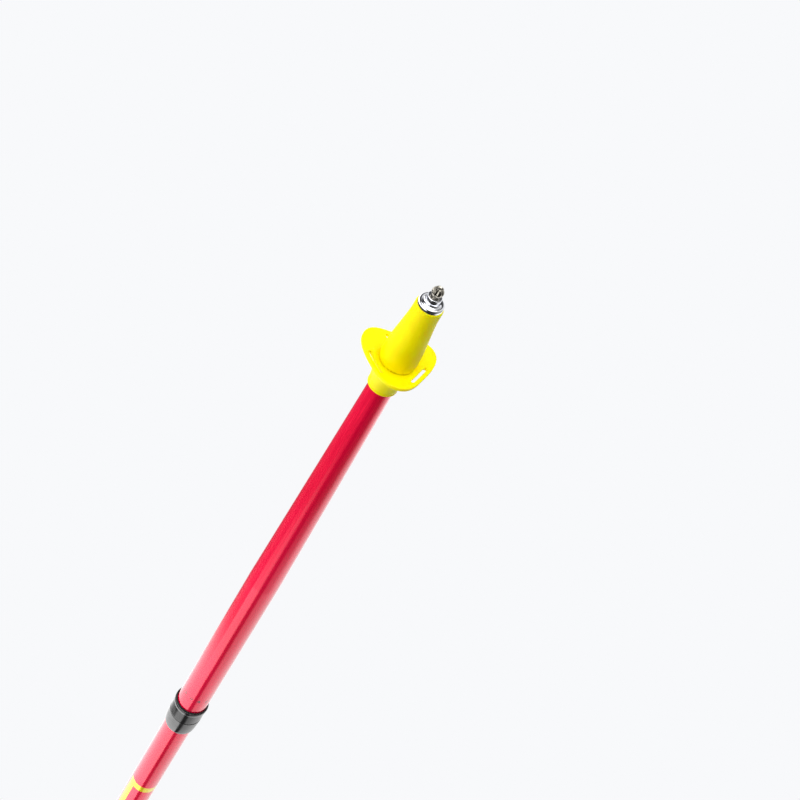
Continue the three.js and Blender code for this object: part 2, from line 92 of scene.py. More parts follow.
STUD_FOOT, STUD_TOP, STUD_R = span("steel_stud")
FERRULE_FOOT, FERRULE_TOP, FERRULE_R = span("tip_ferrule")
CONE_FOOT, CONE_TOP, CONE_R = span("tip_cone")
BASKET_FOOT, HUB_END, _ = span("basket")
TUBE_FOOT, TUBE_TOP, TUBE_R = span("lower_tube")
COLLAR_FOOT, COLLAR_TOP, COLLAR_R = span("tube_collar")
UPPER_FOOT, UPPER_TOP, UPPER_R = span("upper_tube")
CORE_FOOT, HEAD_TOP, HEAD_R = span("grip_core")
SLEEVE_FOOT, SLEEVE_TOP, _ = span("grip_sleeve")
CAP_FOOT, CAP_TOP, CAP_R = span("grip_cap")

# sizes and gaps that several pieces share
FIT = 0.05  # gap between a piece and the one it goes round or into
SEAT = 0.1  # gap between faces that sit on one another
TUBE_WALL = 0.55
TUBE_FOOT_R = 5.52
UPPER_WALL = 0.9
SHANK_R = 1.7
SPIGOT_R = 4.6
SHOULDER_Z = 47.3
SKIRT_R = 6.65
SPINDLE_R = 2.5
LINER_R = 9.2
BOSS_R = 4.0
TAPER_END_Z = 216


def taper_r(z):
    """Outside radius of the lower tube at a height on its taper."""
    return TUBE_FOOT_R + (TUBE_R - TUBE_FOOT_R) * (z - TUBE_FOOT) / (TAPER_END_Z - TUBE_FOOT)


# ---- outline helpers
NEARLY_STRAIGHT = math.radians(168)  # a corner wider than this is left as it is
CORNER_SHARE = 0.45  # of the shorter stretch beside a corner that its rounding may take
LONG_STRETCH = 4.0  # a stretch longer than this gets guard points
EDGE_GUARD = 0.8  # distance of the first guard point from its corner


def filleted(outline, radius, steps=4):
    """The closed outline with its corners rounded. A third number in a point is its own radius."""
    result = []
    for i, corner in enumerate(outline):
        own = corner[2] if len(corner) > 2 else radius
        here = Vector(corner[:2])
        back = Vector(outline[i - 1][:2]) - here
        on = Vector(outline[(i + 1) % len(outline)][:2]) - here
        sharp = own <= 0 or here.x < TINY or min(back.length, on.length) < TINY
        if sharp or back.angle(on) > NEARLY_STRAIGHT:
            result.append(tuple(here))
            continue
        longest = CORNER_SHARE * min(back.length, on.length)
        reach = min(own / math.tan(back.angle(on) / 2), longest)
        start = here + back.normalized() * reach
        end = here + on.normalized() * reach
        result += bend_run(start, here, end, steps)
    return result


def arc_run(centre_r, centre_z, radius, from_degrees, to_degrees, steps):
    """Points on an arc; its angles run from the outward direction towards the upward one."""
    run = []
    for i in range(steps + 1):
        angle = math.radians(from_degrees + (to_degrees - from_degrees) * i / steps)
        run.append((centre_r + radius * math.cos(angle), centre_z + radius * math.sin(angle)))
    return run


def smooth_run(points, steps_each):
    """Points along a Catmull-Rom curve through the given ones."""
    run = []
    ends = [points[0]] + list(points) + [points[-1]]
    for i in range(1, len(ends) - 2):
        p0, p1, p2, p3 = (Vector(ends[i + k]) for k in (-1, 0, 1, 2))
        for k in range(steps_each):
            t = k / steps_each
            point = p1 + (p2 - p0) * t / 2 + (p0 * 2 - p1 * 5 + p2 * 4 - p3) * t ** 2 / 2
            point += (p1 * 3 - p0 - p2 * 3 + p3) * t ** 3 / 2
            run.append(tuple(point))
    run.append(tuple(points[-1]))
    return run


def bend_run(start, middle, end, steps):
    """Points along a quadratic curve from start to end that is pulled towards middle."""
    a, b, c = Vector(start), Vector(middle), Vector(end)
    points = []
    for i in range(steps + 1):
        t = i / steps
        points.append(tuple(a * (1 - t) ** 2 + b * 2 * t * (1 - t) + c * t ** 2))
    return points


def even_run(start, end, longest):
    """Points on the straight line from start to end, no further apart than this."""
    a, b = Vector(start), Vector(end)
    count = max(1, math.ceil((b - a).length / longest))
    return [tuple(a.lerp(b, k / count)) for k in range(count + 1)]


def smooth_step(value, low, high):
    """0 up to low, 1 from high on, and an even change between them."""
    share = min(1.0, max(0.0, (value - low) / (high - low)))
    return share * share * (3 - 2 * share)


def between(value, low, high, rise, fall):
    """1 between low and high, with an even rise just after low and a fall just before high."""
    return smooth_step(value, low, low + rise) * (1 - smooth_step(value, high - fall, high))


# ---- mesh helpers
def direction(angle):
    """The flat unit vector at an angle from the first axis."""
    return Vector((math.cos(angle), math.sin(angle)))


def round_axis(r, angle, z):
    """The place in metres of a point given by radius, angle and height in millimetres."""
    return (r * math.cos(angle) * MM, r * math.sin(angle) * MM, z * MM)


def join_rings(mesh_bm, rings, closed=True, around=True):
    """Faces from each ring of vertices to the next. closed joins the last ring to the first
    instead of capping both; around joins each ring's end to its start."""
    if not closed:
        mesh_bm.faces.new(rings[0])
        mesh_bm.faces.new(rings[-1])
    for near, far in zip(rings, rings[1:] + rings[:1] if closed else rings[1:]):
        for k in range(len(near) if around else len(near) - 1):
            after = (k + 1) % len(near)
            corners = list(dict.fromkeys((near[k], near[after], far[after], far[k])))
            if len(corners) > 2:
                mesh_bm.faces.new(corners)


def finish_mesh(name, mesh_bm):
    """A smooth-shaded object, with its faces pointing out, from a bmesh in metres."""
    bmesh.ops.recalc_face_normals(mesh_bm, faces=mesh_bm.faces)
    mesh = bpy.data.meshes.new(name)
    mesh_bm.to_mesh(mesh)
    mesh_bm.free()
    mesh.shade_smooth()
    mesh.set_sharp_from_angle(angle=SHARP_ANGLE)
    piece = bpy.data.objects.new(name, mesh)
    bpy.context.collection.objects.link(piece)
    return piece


def edge_guarded(outline):
    """Adds points beside the corners of every long stretch, so that edge wear stays at the edge."""
    guarded = []
    for start, end in zip(outline, outline[1:] + outline[:1]):
        guarded.append(start)
        a, b = Vector(start[:2]), Vector(end[:2])
        length = (b - a).length
        if length > LONG_STRETCH and max(a.x, b.x) > TINY:
            guarded += [tuple(a.lerp(b, step / length)) for step in (EDGE_GUARD, 2 * EDGE_GUARD)]
            guarded += [tuple(b.lerp(a, step / length)) for step in (2 * EDGE_GUARD, EDGE_GUARD)]
    return guarded


def turned(name, outline, shape=None, sides=SIDES, slit=0.0):
    """Turns a closed (radius, height) outline about Z. shape(radius, angle, height) may change the
    radius. slit leaves out that angle, in radians, centred on +X, and closes the two ends."""
    mesh_bm = bmesh.new()
    columns = sides + 1 if slit else sides
    turn = (2 * math.pi - slit) / sides
    grid = []
    for r, z in edge_guarded(outline):
        if r < TINY:
            pole = mesh_bm.verts.new((0, 0, z * MM))
            grid.append([pole] * columns)
            continue
        ring = []
        for k in range(columns):
            angle = slit / 2 + k * turn
            shaped = shape(r, angle, z) if shape else r
            ring.append(mesh_bm.verts.new(round_axis(shaped, angle, z)))
        grid.append(ring)
    join_rings(mesh_bm, grid, around=not slit)
    if slit:
        for column in (0, columns - 1):
            mesh_bm.faces.new([ring[column] for ring in grid])
    return finish_mesh(name, mesh_bm)


def combine(piece, tool, operation):
    """Applies a boolean with the tool to the piece, and removes the tool."""
    step = piece.modifiers.new("combine", "BOOLEAN")
    step.operation = operation
    step.solver = "EXACT"
    step.object = tool
    apply_modifiers(piece)
    bpy.data.objects.remove(tool)


def apply_modifiers(piece):
    """Gives the piece the mesh that its modifiers make of it, and takes them off."""
    bpy.context.view_layer.update()
    evaluated = piece.evaluated_get(bpy.context.evaluated_depsgraph_get())
    mesh = bpy.data.meshes.new_from_object(evaluated)
    piece.modifiers.clear()
    old = piece.data
    piece.data = mesh
    bpy.data.meshes.remove(old)


def softened(piece, voxel, passes):
    """Rebuilds the piece's surface on an even grid and rounds its edges a little."""
    remesh = piece.modifiers.new("grid", "REMESH")
    remesh.mode = "VOXEL"
    remesh.voxel_size = voxel * MM
    smooth = piece.modifiers.new("round", "SMOOTH")
    smooth.factor = 0.5
    smooth.iterations = passes
    apply_modifiers(piece)
    piece.data.shade_smooth()


def block(name, low, high):
    """A box between two corners."""
    mesh_bm = bmesh.new()
    bmesh.ops.create_cube(mesh_bm, size=1)
    for vert in mesh_bm.verts:
        for axis in range(3):
            middle = (low[axis] + high[axis]) / 2
            vert.co[axis] = (middle + vert.co[axis] * (high[axis] - low[axis])) * MM
    return finish_mesh(name, mesh_bm)


def finished(piece, node, body, surface):
    """Puts the surface's material on the piece, hangs the piece under its body, and hides the CAD node that
    it stands in for. An extra piece has no node."""
    slot, material = surface
    piece.data.materials.clear()
    piece.data.materials.append(material)
    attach(piece, body)
    if node:
        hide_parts(node)


# ---- materials
class Nodes:
    """Short calls that add nodes to a node tree and join them."""

    def __init__(self, tree):
        self.nodes = tree.nodes
        self.links = tree.links

    def feed(self, socket, source):
        """Links an output to a socket, or sets the socket to a plain value."""
        if isinstance(source, bpy.types.NodeSocket):
            self.links.new(source, socket)
        else:
            socket.default_value = source

    def node(self, kind, inputs=None, **settings):
        """Adds a node with these settings, and feeds its inputs by their names or numbers."""
        made = self.nodes.new("ShaderNode" + kind)
        for name, value in settings.items():
            setattr(made, name, value)
        for place, source in (inputs or {}).items():
            self.feed(made.inputs[place], source)
        return made

    def ramp(self, source, low, high, to_low=0.0, to_high=1.0):
        """Takes values from low to high onto values from to_low to to_high, and stops at both."""
        inputs = {"Value": source, "From Min": low, "From Max": high, "To Min": to_low, "To Max": to_high}
        return self.node("MapRange", inputs, interpolation_type="SMOOTHSTEP").outputs["Result"]

    def math(self, operation, first, second=0.0):
        return self.node("Math", {0: first, 1: second}, operation=operation).outputs["Value"]

    def times(self, first, second):
        return self.math("MULTIPLY", first, second)

    def off_middle(self, source, middle):
        """How far a value is from the middle, either way."""
        return self.math("ABSOLUTE", self.math("SUBTRACT", source, middle))

    def parts(self, source):
        """The outputs X, Y and Z of a vector."""
        return self.node("SeparateXYZ", {0: source}).outputs


class Finish(Nodes):
    """A Principled material. Its patterns follow the object's own coordinates."""

    def __init__(self, name, constants):
        self.material = bpy.data.materials.new(name)
        self.material.use_nodes = True
        super().__init__(self.material.node_tree)
        self.shader = self.nodes["Principled BSDF"]
        for socket, value in constants.items():
            self.shader.inputs[socket].default_value = value
        self.place = self.node("TexCoord").outputs["Object"]

    def shape(self, base, rough, normal):
        """Feeds the shader's colour, roughness and normal."""
        for socket, source in zip(("Base Color", "Roughness", "Normal"), (base, rough, normal)):
            self.feed(self.shader.inputs[socket], source)
        return self.material

    def noise(self, per_metre, detail, stretch=(1, 1, 1), source=None):
        stretched = self.node("Mapping", {"Vector": source or self.place, "Scale": stretch})
        inputs = {"Vector": stretched.outputs["Vector"], "Scale": per_metre, "Detail": detail}
        return self.node("TexNoise", inputs).outputs["Fac"]

    def cells(self, per_metre):
        """Distance from the middle of the nearest cell."""
        return self.node("TexVoronoi", {"Vector": self.place, "Scale": per_metre}).outputs["Distance"]

    def mix(self, share, first, second):
        # inputs 6 and 7 and output 2 are the colour ones
        return self.node("Mix", {"Factor": share, 6: first, 7: second}, data_type="RGBA").outputs[2]

    def clouded(self, cloud, first, second, low=0.35, high=0.65):
        """Goes from one colour to the other where the cloud is between low and high."""
        return self.mix(self.ramp(cloud, low, high), first, second)

    def bump(self, height, depth_mm, strength=1.0, over=None):
        inputs = {"Height": height, "Distance": depth_mm * MM, "Strength": strength}
        if over:
            inputs["Normal"] = over
        return self.node("Bump", inputs).outputs["Normal"]

    def worn_edges(self, from_level=0.52, to_level=0.6):
        """1 on outward edges, broken up so that the wear comes and goes."""
        pointed = self.node("NewGeometry").outputs["Pointiness"]
        patchy = self.ramp(self.noise(900, 4), 0.4, 0.62)
        return self.times(self.ramp(pointed, from_level, to_level), patchy)


def colour(red, green, blue, light=1.0):
    """An opaque colour; light scales how pale it is."""
    return (red * light, green * light, blue * light, 1.0)


# crimson metallic paint under a clear coat
PAINT_DEEP = colour(0.90, 0.0, 0.045)
PAINT_BRIGHT = colour(1.0, 0.0, 0.06)
PAINT_FLAKE = colour(1.0, 0.04, 0.12)
PAINT_RUBBED = colour(0.62, 0.55, 0.55)
PAINT_SURFACE = {
    "Metallic": 0.3, "Specular IOR Level": 0.1, "Coat Weight": 0.8, "Coat Roughness": 0.04, "Coat IOR": 1.5,
}


def paint(name, printed):
    """The tubes' paint. printed(finish, base) lays a print over the base colour."""
    finish = Finish(name, PAINT_SURFACE)
    base = finish.clouded(finish.noise(45, 2, (1, 1, 0.25)), PAINT_DEEP, PAINT_BRIGHT)
    base = finish.mix(finish.ramp(finish.cells(7000), 0.0, 0.45, 0.12, 0.0), base, PAINT_FLAKE)
    base = finish.mix(finish.times(finish.worn_edges(0.53, 0.62), 0.7), base, PAINT_RUBBED)
    scratches = finish.noise(2600, 5, (1, 1, 0.02))
    rough = finish.ramp(scratches, 0.3, 0.75, 0.2, 0.3)
    peel = finish.bump(finish.noise(420, 2), 0.004)
    return finish.shape(printed(finish, base), rough, finish.bump(finish.noise(6000, 1), 0.0012, over=peel))


# printed frame round the upper tube, in metres: a plain outline in the yellow of the tip
FRAME_FOOT_Z = 0.405
FRAME_HEIGHT = 0.150
FRAME_LINE = 0.0043
FRAME_EDGE = 0.0001  # over which the ink fades out
FRAME_CENTRE = math.radians(-117)  # from +X towards +Y
FRAME_HALF_ANGLE = math.radians(89)


def frame_print(finish, base):
    """Lays the frame's ink over the base colour."""
    inputs = {"Vector": finish.place, "Angle": -FRAME_CENTRE}
    turned_to = finish.node("VectorRotate", inputs, rotation_type="Z_AXIS")
    place = finish.parts(turned_to.outputs["Vector"])
    angle = finish.math("ABSOLUTE", finish.math("ARCTAN2", place["Y"], place["X"]))
    height = finish.off_middle(place["Z"], FRAME_FOOT_Z + FRAME_HEIGHT / 2)
    tube_r = UPPER_R * MM

    def inside(half_angle, half_height):
        round_way = finish.ramp(angle, half_angle - FRAME_EDGE / tube_r, half_angle, 1.0, 0.0)
        up_way = finish.ramp(height, half_height - FRAME_EDGE, half_height, 1.0, 0.0)
        return finish.times(round_way, up_way)

    outer = inside(FRAME_HALF_ANGLE, FRAME_HEIGHT / 2)
    inner = inside(FRAME_HALF_ANGLE - FRAME_LINE / tube_r, FRAME_HEIGHT / 2 - FRAME_LINE)
    rubbed = finish.ramp(finish.noise(1500, 4), 0.36, 0.42, 0.75, 1.0)
    mask = finish.times(finish.math("SUBTRACT", outer, inner), rubbed)
    ink = finish.mix(finish.noise(300, 3), colour(0.93, 0.74, 0.0), colour(0.98, 0.86, 0.01))
    return finish.mix(mask, base, ink)


# plain setting dashes printed round the lower tube just below its collar, in metres
MARK_Z = 0.3150
MARK_HEIGHT = 0.002
MARK_COUNT = 12  # places for a dash all the way round
MARK_SHARE = 0.4  # of each place that the dash fills


def mark_print(finish, base):
    """Lays the dashes' ink over the base colour."""
    place = finish.parts(finish.place)
    turns = finish.times(finish.math("ARCTAN2", place["Y"], place["X"]), MARK_COUNT / (2 * math.pi))
    round_way = finish.math("LESS_THAN", finish.math("FRACT", turns), MARK_SHARE)
    up_way = finish.math("LESS_THAN", finish.off_middle(place["Z"], MARK_Z), MARK_HEIGHT / 2)
    rubbed = finish.ramp(finish.noise(1200, 4), 0.4, 0.6, 0.35, 0.9)
    mask = finish.times(finish.times(round_way, up_way), rubbed)
    return finish.mix(mask, base, colour(0.05, 0.02, 0.03))


def moulded(name, dark, light, edge, rough, grain_mm, constants=None):
    """Injection-moulded plastic: faint clouding, a fine grain, and scuffed edges in a colour of
    their own."""
    finish = Finish(name, {"IOR": 1.49, "Specular IOR Level": 0.25, **(constants or {})})
    base = finish.clouded(finish.noise(70, 3), dark, light)
    base = finish.mix(finish.times(finish.worn_edges(), 0.6), base, edge)
    patchy = finish.ramp(finish.noise(260, 5), 0.3, 0.7, rough - 0.06, rough + 0.06)
    grain = finish.bump(finish.noise(2600, 2), grain_mm)
    return finish.shape(base, patchy, finish.bump(finish.noise(320, 2), grain_mm * 2, 0.5, over=grain))


def metal(name, dark, light, rough_low, rough_high, marks_mm, stretch):
    """Metal with turning or grinding marks; stretch says which way they run."""
    finish = Finish(name, {"Metallic": 1.0})
    base = finish.clouded(finish.noise(500, 5), light, dark, high=0.7)
    marks = finish.noise(1800, 4, stretch)
    rough = finish.ramp(marks, 0.3, 0.7, rough_low, rough_high)
    return finish.shape(base, rough, finish.bump(marks, marks_mm))


def rubber(name, sheen=0.25, light=1.0):
    """Moulded rubber with pores and a little dust; light scales how pale it is."""
    finish = Finish(name, {"Sheen Weight": sheen, "Sheen Roughness": 0.45})
    dark, pale = colour(0.016, 0.016, 0.018, light), colour(0.03, 0.03, 0.032, light)
    base = finish.clouded(finish.noise(90, 4), dark, pale)
    dust = finish.ramp(finish.noise(700, 6), 0.58, 0.75, 0.0, 0.35)
    base = finish.mix(dust, base, colour(0.11, 0.105, 0.1, light))
    rough = finish.ramp(finish.noise(400, 4), 0.3, 0.7, 0.68, 0.85)
    pores = finish.bump(finish.cells(1500), 0.05)
    return finish.shape(base, rough, finish.bump(finish.noise(5000, 2), 0.02, over=pores))


WEAVE_PITCH = 0.00125  # of the woven band, in metres


def webbing(name, light=1.0):
    """Woven nylon. The band's own mesh carries how far along and across each point is, in metres."""
    finish = Finish(name, {"Sheen Weight": 0.5, "Sheen Roughness": 0.35, "Specular IOR Level": 0.35})
    run = finish.node("Attribute", attribute_name="band").outputs["Vector"]
    place = finish.parts(run)
    along, across = (finish.times(place[way], 2 * math.pi / WEAVE_PITCH) for way in ("X", "Y"))
    twill = finish.math("SINE", finish.math("ADD", along, across))
    counter = finish.math("SINE", finish.math("SUBTRACT", along, across))
    side = finish.math("GREATER_THAN", finish.math("SINE", finish.times(across, 0.25)), 0.0)
    other_side = finish.math("SUBTRACT", 1.0, side)
    chevron = finish.math("ADD", finish.times(twill, side), finish.times(counter, other_side))
    yarn = finish.ramp(chevron, -1.0, 1.0)
    fibres = finish.noise(5200, 3, (1, 0.12, 1), run)
    # painted shade: the colour follows the yarn's relief, darker in the grooves and paler on the crowns
    base = finish.mix(yarn, colour(0.010, 0.010, 0.011, light), colour(0.036, 0.036, 0.04, light))
    base = finish.mix(finish.ramp(fibres, 0.5, 0.8, 0.0, 0.5), base, colour(0.075, 0.075, 0.08, light))
    rough = finish.ramp(yarn, 0.0, 1.0, 0.85, 0.62)
    return finish.shape(base, rough, finish.bump(fibres, 0.05, over=finish.bump(yarn, 0.22)))


# each surface is a slot and its material
RED_MARKED = "red_paint", paint("paint_red_with_marks", mark_print)
RED_PRINTED = "red_paint", paint("paint_red_with_frame", frame_print)
YELLOW = "yellow_plastic", moulded(
    "plastic_yellow", colour(0.96, 0.80, 0.0), colour(1.0, 0.86, 0.0), colour(1.0, 0.93, 0.12), 0.42, 0.008,
    {"Specular IOR Level": 0.08, "Subsurface Weight": 0.4, "Subsurface Scale": 0.0025,
     "Subsurface Radius": (1.0, 0.45, 0.05)},
)
BLACK = "black_plastic", moulded(
    "plastic_black", colour(0.005, 0.0045, 0.005), colour(0.01, 0.009, 0.01), colour(0.12, 0.12, 0.12),
    0.13, 0.002, {"Specular IOR Level": 1.0},
)
BLACK_FLAT = "black_plastic", moulded(
    "plastic_black_flat", colour(0.02, 0.02, 0.021), colour(0.034, 0.033, 0.034),
    colour(0.055, 0.055, 0.055), 0.48, 0.02,
)
GREY = "grey_plastic", moulded(
    "plastic_grey", colour(0.24, 0.24, 0.23), colour(0.31, 0.31, 0.30), colour(0.42, 0.42, 0.41), 0.5, 0.012,
)
RUBBER = "soft_black", rubber("rubber_black")
# the seal is black rubber, but this copy is a quarter as pale as the grip's rubber and has no sheen: painted
# shade of the gap under the collar
SEAL_RUBBER_PAINTED_SHADE = "soft_black", rubber("rubber_seal_painted_shade", 0.0, 0.25)
WEBBING = "strap_webbing", webbing("webbing_black")
THREAD = "strap_webbing", webbing("thread_grey", 3.2)
CHROME = "chrome", metal(
    "chrome", colour(0.66, 0.67, 0.72), colour(0.86, 0.87, 0.91), 0.03, 0.09, 0.0015, (0.2, 0.2, 6),
)
STEEL = "stud_steel", metal(
    "steel_worn", colour(0.07, 0.065, 0.055), colour(0.48, 0.45, 0.38), 0.1, 0.18, 0.002, (0.3, 0.3, 3),
)
ZINC = "stud_steel", metal(
    "steel_plated", colour(0.42, 0.42, 0.43), colour(0.62, 0.63, 0.65), 0.22, 0.4, 0.006, (0.4, 0.4, 4),
)


# ---- tip
def make_stud():
    """Ball-ended stud: a slightly hollow flat end, six narrow flutes down the ball, and a shank."""
    flat_r = 1.3
    hollow = 0.3
    flutes = 6
    flute_depth = 0.3
    flute_angle = math.radians(270)
    centre_z = STUD_FOOT + math.sqrt(STUD_R ** 2 - flat_r ** 2)
    lowest = math.degrees(math.asin((STUD_FOOT - centre_z) / STUD_R))
    highest = math.degrees(math.acos(SHANK_R / STUD_R))
    ball = arc_run(0, centre_z, STUD_R, lowest, highest, 28)
    end = bend_run((0, STUD_FOOT + hollow), (0.7, STUD_FOOT + hollow), (flat_r - 0.12, STUD_FOOT + 0.01), 6)

    def fluted(r, angle, z):
        on_ball = smooth_step(r, flat_r, flat_r + 0.7) if z < centre_z + 1.6 else 0.0
        narrow = (0.5 + 0.5 * math.cos(flutes * (angle - flute_angle))) ** 3
        return r - flute_depth * narrow * on_ball

    outline = end + ball + [(SHANK_R, STUD_TOP - 0.3), (SHANK_R - 0.3, STUD_TOP), (0, STUD_TOP)]
    piece = turned("stud", outline, fluted)
    finished(piece, "steel_stud", "lower_section", STEEL)


def make_ferrule():
    """Chrome cup: a sleeve round the stud, a shallow bowl, a rolled lip and a hidden spigot."""
    lip_r = 1.0
    lip_reach = 1.707 * lip_r  # from the lip's edge to where its arc begins, at 45 degrees
    edge_z = CONE_FOOT - SEAT
    nose_r = 3.3
    bore_r = SHANK_R + FIT
    above_foot = FERRULE_FOOT + 2
    nose = [(bore_r, above_foot), (bore_r, FERRULE_FOOT), (nose_r, FERRULE_FOOT), (nose_r, above_foot)]
    rim = filleted(nose, 0.3)[5:-5]  # without its two open ends
    side = bend_run((nose_r, FERRULE_FOOT + 2.4), (nose_r, FERRULE_FOOT + 3.3),
                    (FERRULE_R - lip_reach, edge_z - lip_reach), 10)
    lip = arc_run(FERRULE_R - lip_r, edge_z - lip_r, lip_r, 225, 360, 20)
    outline = [(0, STUD_TOP + SEAT), (bore_r, STUD_TOP + SEAT)] + rim + side[:-1] + lip
    outline += [(FERRULE_R, edge_z), (SPIGOT_R, edge_z), (SPIGOT_R, FERRULE_TOP - 0.4)]
    outline += [(SPIGOT_R - 0.4, FERRULE_TOP), (0, FERRULE_TOP)]
    piece = turned("ferrule", outline)
    finished(piece, "tip_ferrule", "lower_section", CHROME)


SEAM_HEIGHT = 0.05
SEAM_HALF_WIDTH = 0.35


def mould_seam(r, angle):
    """How far a parting line stands up at this place; there is one on each side, at +X and -X."""
    distance = abs(math.sin(angle)) * r
    return SEAM_HEIGHT * (1 - smooth_step(distance, 0.0, SEAM_HALF_WIDTH))


def make_cone():
    """Bullet-shaped tip: socket for the ferrule below, socket for the tube above."""
    foot_r = 6.15
    ferrule_socket_r = SPIGOT_R + FIT
    ferrule_socket_z = FERRULE_TOP + SEAT
    tube_socket_z = TUBE_FOOT - SEAT
    bulge = [(6.42, 11.5), (6.5, 18), (7.35, 27), (8.3, 36), (8.6, 42.5), (8.56, SHOULDER_Z - 1.1)]
    side = smooth_run(bulge, 8)
    inside = [(0, ferrule_socket_z), (ferrule_socket_r, ferrule_socket_z), (ferrule_socket_r, CONE_FOOT)]
    foot = bend_run((foot_r - 0.2, CONE_FOOT), (foot_r + 0.22, CONE_FOOT + 0.05), (6.40, CONE_FOOT + 0.5), 5)
    shoulder = bend_run((8.52, SHOULDER_Z - 0.9), (8.5, SHOULDER_Z), (7.6, SHOULDER_Z), 6)
    skirt = [(SKIRT_R, SHOULDER_Z), (SKIRT_R, CONE_TOP), (taper_r(CONE_TOP) + FIT, CONE_TOP)]
    tube_socket = [(taper_r(tube_socket_z) + FIT, tube_socket_z), (0, tube_socket_z)]

    def seamed(r, angle, z):
        outside = r > 6.2 and z < SHOULDER_Z - 0.5
        return r + mould_seam(r, angle) if outside else r

    piece = turned("tip_cone_moulded", inside + foot + side + shoulder + skirt + tube_socket, seamed, 216)
    finished(piece, "tip_cone", "lower_section", YELLOW)


# three-lobed plate with a straight slot behind each waist, dished towards the tip
LOBES = 3
LOBE_ANGLE = math.radians(250)
PLATE_MEAN_R = 16.4
LOBE_SWELL = 2.2
LOBE_NARROWING = 0.15
PLATE_THICKNESS = 1.8
PLATE_SLOPE = 0.27
SLOT_MID_R = 11.6
SLOT_HALF_WIDTH = 0.75
SLOT_HALF_LENGTH = 6.2
HUB_ROOT_R = 10.6


def plate_r(angle):
    """Radius of the plate's rim in a direction."""
    turn = LOBES * (angle - LOBE_ANGLE)
    return PLATE_MEAN_R + LOBE_SWELL * math.cos(turn) + LOBE_NARROWING * math.cos(2 * turn)


def plate_face_z(r):
    """Height of the plate's tip-side face at a distance from the axis."""
    return SHOULDER_Z + SEAT - PLATE_SLOPE * (r - CONE_R)


def slot_cutter(middle):
    """A straight bar with round ends, standing through the plate square to the radius."""
    steps = 20
    radial = direction(middle)
    along = Vector((-math.sin(middle), math.cos(middle))) * (SLOT_HALF_LENGTH - SLOT_HALF_WIDTH)
    points = []
    for end, start_angle in ((1, middle), (-1, middle + math.pi)):
        for k in range(steps + 1):
            angle = start_angle + math.pi * k / steps
            points.append(radial * SLOT_MID_R + along * end + direction(angle) * SLOT_HALF_WIDTH)
    mesh_bm = bmesh.new()
    heights = (BASKET_FOOT - 2, SHOULDER_Z + 6)
    rings = [[mesh_bm.verts.new((p.x * MM, p.y * MM, z * MM)) for p in points] for z in heights]
    join_rings(mesh_bm, rings, closed=False)
    return finish_mesh("slot", mesh_bm)


def make_plate(root_r):
    """The plate alone, from root_r out to its lobed rim."""
    columns, rim_steps = 288, 8
    shares = [k / rim_steps for k in range(rim_steps + 1)]
    faces = [(share, 0.0) for share in shares] + [(share, PLATE_THICKNESS) for share in reversed(shares)]
    mesh_bm = bmesh.new()
    rings = []
    for share, above in faces:
        ring = []
        for k in range(columns):
            angle = 2 * math.pi * k / columns
            r = root_r + (plate_r(angle) - root_r) * share
            ring.append(mesh_bm.verts.new(round_axis(r, angle, plate_face_z(r) + above)))
        rings.append(ring)
    join_rings(mesh_bm, rings)
    return finish_mesh("basket_moulded", mesh_bm)


def make_basket():
    """The plate with its slots cut, and a trumpet-shaped hub with a bead at its end."""
    inner_r = SKIRT_R + FIT
    piece = make_plate(inner_r + 1.5)
    for i in range(LOBES):
        waist = LOBE_ANGLE + (2 * i + 1) * math.pi / LOBES
        combine(piece, slot_cutter(waist), "DIFFERENCE")
    root_z = plate_face_z(HUB_ROOT_R) + PLATE_THICKNESS
    tube_bore_r = taper_r(HUB_END) + FIT
    hub = [(inner_r, SHOULDER_Z + SEAT), (CONE_R + 0.6, SHOULDER_Z + SEAT)]
    hub += bend_run((HUB_ROOT_R, root_z - 0.4), (7.6, 55), (6.95, HUB_END - 0.9), 16)
    bead = [(7.12, HUB_END - 0.75), (7.12, HUB_END), (tube_bore_r, HUB_END)]
    hub += bead + [(tube_bore_r, CONE_TOP + SEAT), (inner_r, CONE_TOP + SEAT)]
    combine(piece, turned("hub", hub), "UNION")
    softened(piece, 0.22, 7)
    finished(piece, "basket", "lower_section", YELLOW)


make_stud()
make_ferrule()
make_cone()
make_basket()


# ---- tubes and collar
def make_lower_tube():
    """Outer tube with rounded ends, straight above and tapered below."""
    edge = 0.18
    bore_r = TUBE_R - TUBE_WALL
    outline = filleted([
        (TUBE_FOOT_R - TUBE_WALL, TUBE_FOOT), (TUBE_FOOT_R, TUBE_FOOT), (TUBE_R, TAPER_END_Z, 40),
        (TUBE_R, TUBE_TOP), (bore_r, TUBE_TOP), (bore_r, TAPER_END_Z),
    ], edge)
    piece = turned("lower_tube_painted", outline)
    finished(piece, "lower_tube", "lower_section", RED_MARKED)


def make_collar():
    """End ring of the lower tube: a rim at its foot, a shallow groove, and a bullet-shaped back."""
    bore_r = TUBE_R + FIT
    lip_z = TUBE_TOP + SEAT
    lip_bore_r = UPPER_R + FIT
    groove_z = COLLAR_FOOT + 9.6
    groove = [(8.84, groove_z - 0.5), (8.60, groove_z - 0.25)]
    groove += [(8.60, groove_z + 0.25), (8.80, groove_z + 0.5)]
    back = smooth_run([(8.74, 338.4), (8.62, 342), (8.3, 345.6), (7.95, 346.9), (7.62, COLLAR_TOP)], 6)
    rim = filleted([(bore_r, COLLAR_FOOT), (COLLAR_R - 0.02, COLLAR_FOOT), (COLLAR_R, COLLAR_FOOT + 3)], 0.35)
    outline = rim + groove + back
    outline += [(lip_bore_r + 0.1, COLLAR_TOP), (lip_bore_r, COLLAR_TOP - 0.2)]
    outline += [(lip_bore_r, lip_z), (bore_r, lip_z)]
    piece = turned("collar_moulded", outline)
    finished(piece, "tube_collar", "lower_section", BLACK)


def make_ring(name, node, body, inner_r, edge, surface):
    """A plain ring or tube as large as its CAD node, with rounded edges."""
    foot, top, outer_r = span(node)
    outline = filleted([(inner_r, foot), (outer_r, foot), (outer_r, top), (inner_r, top)], edge)
    finished(turned(name, outline), node, body, surface)


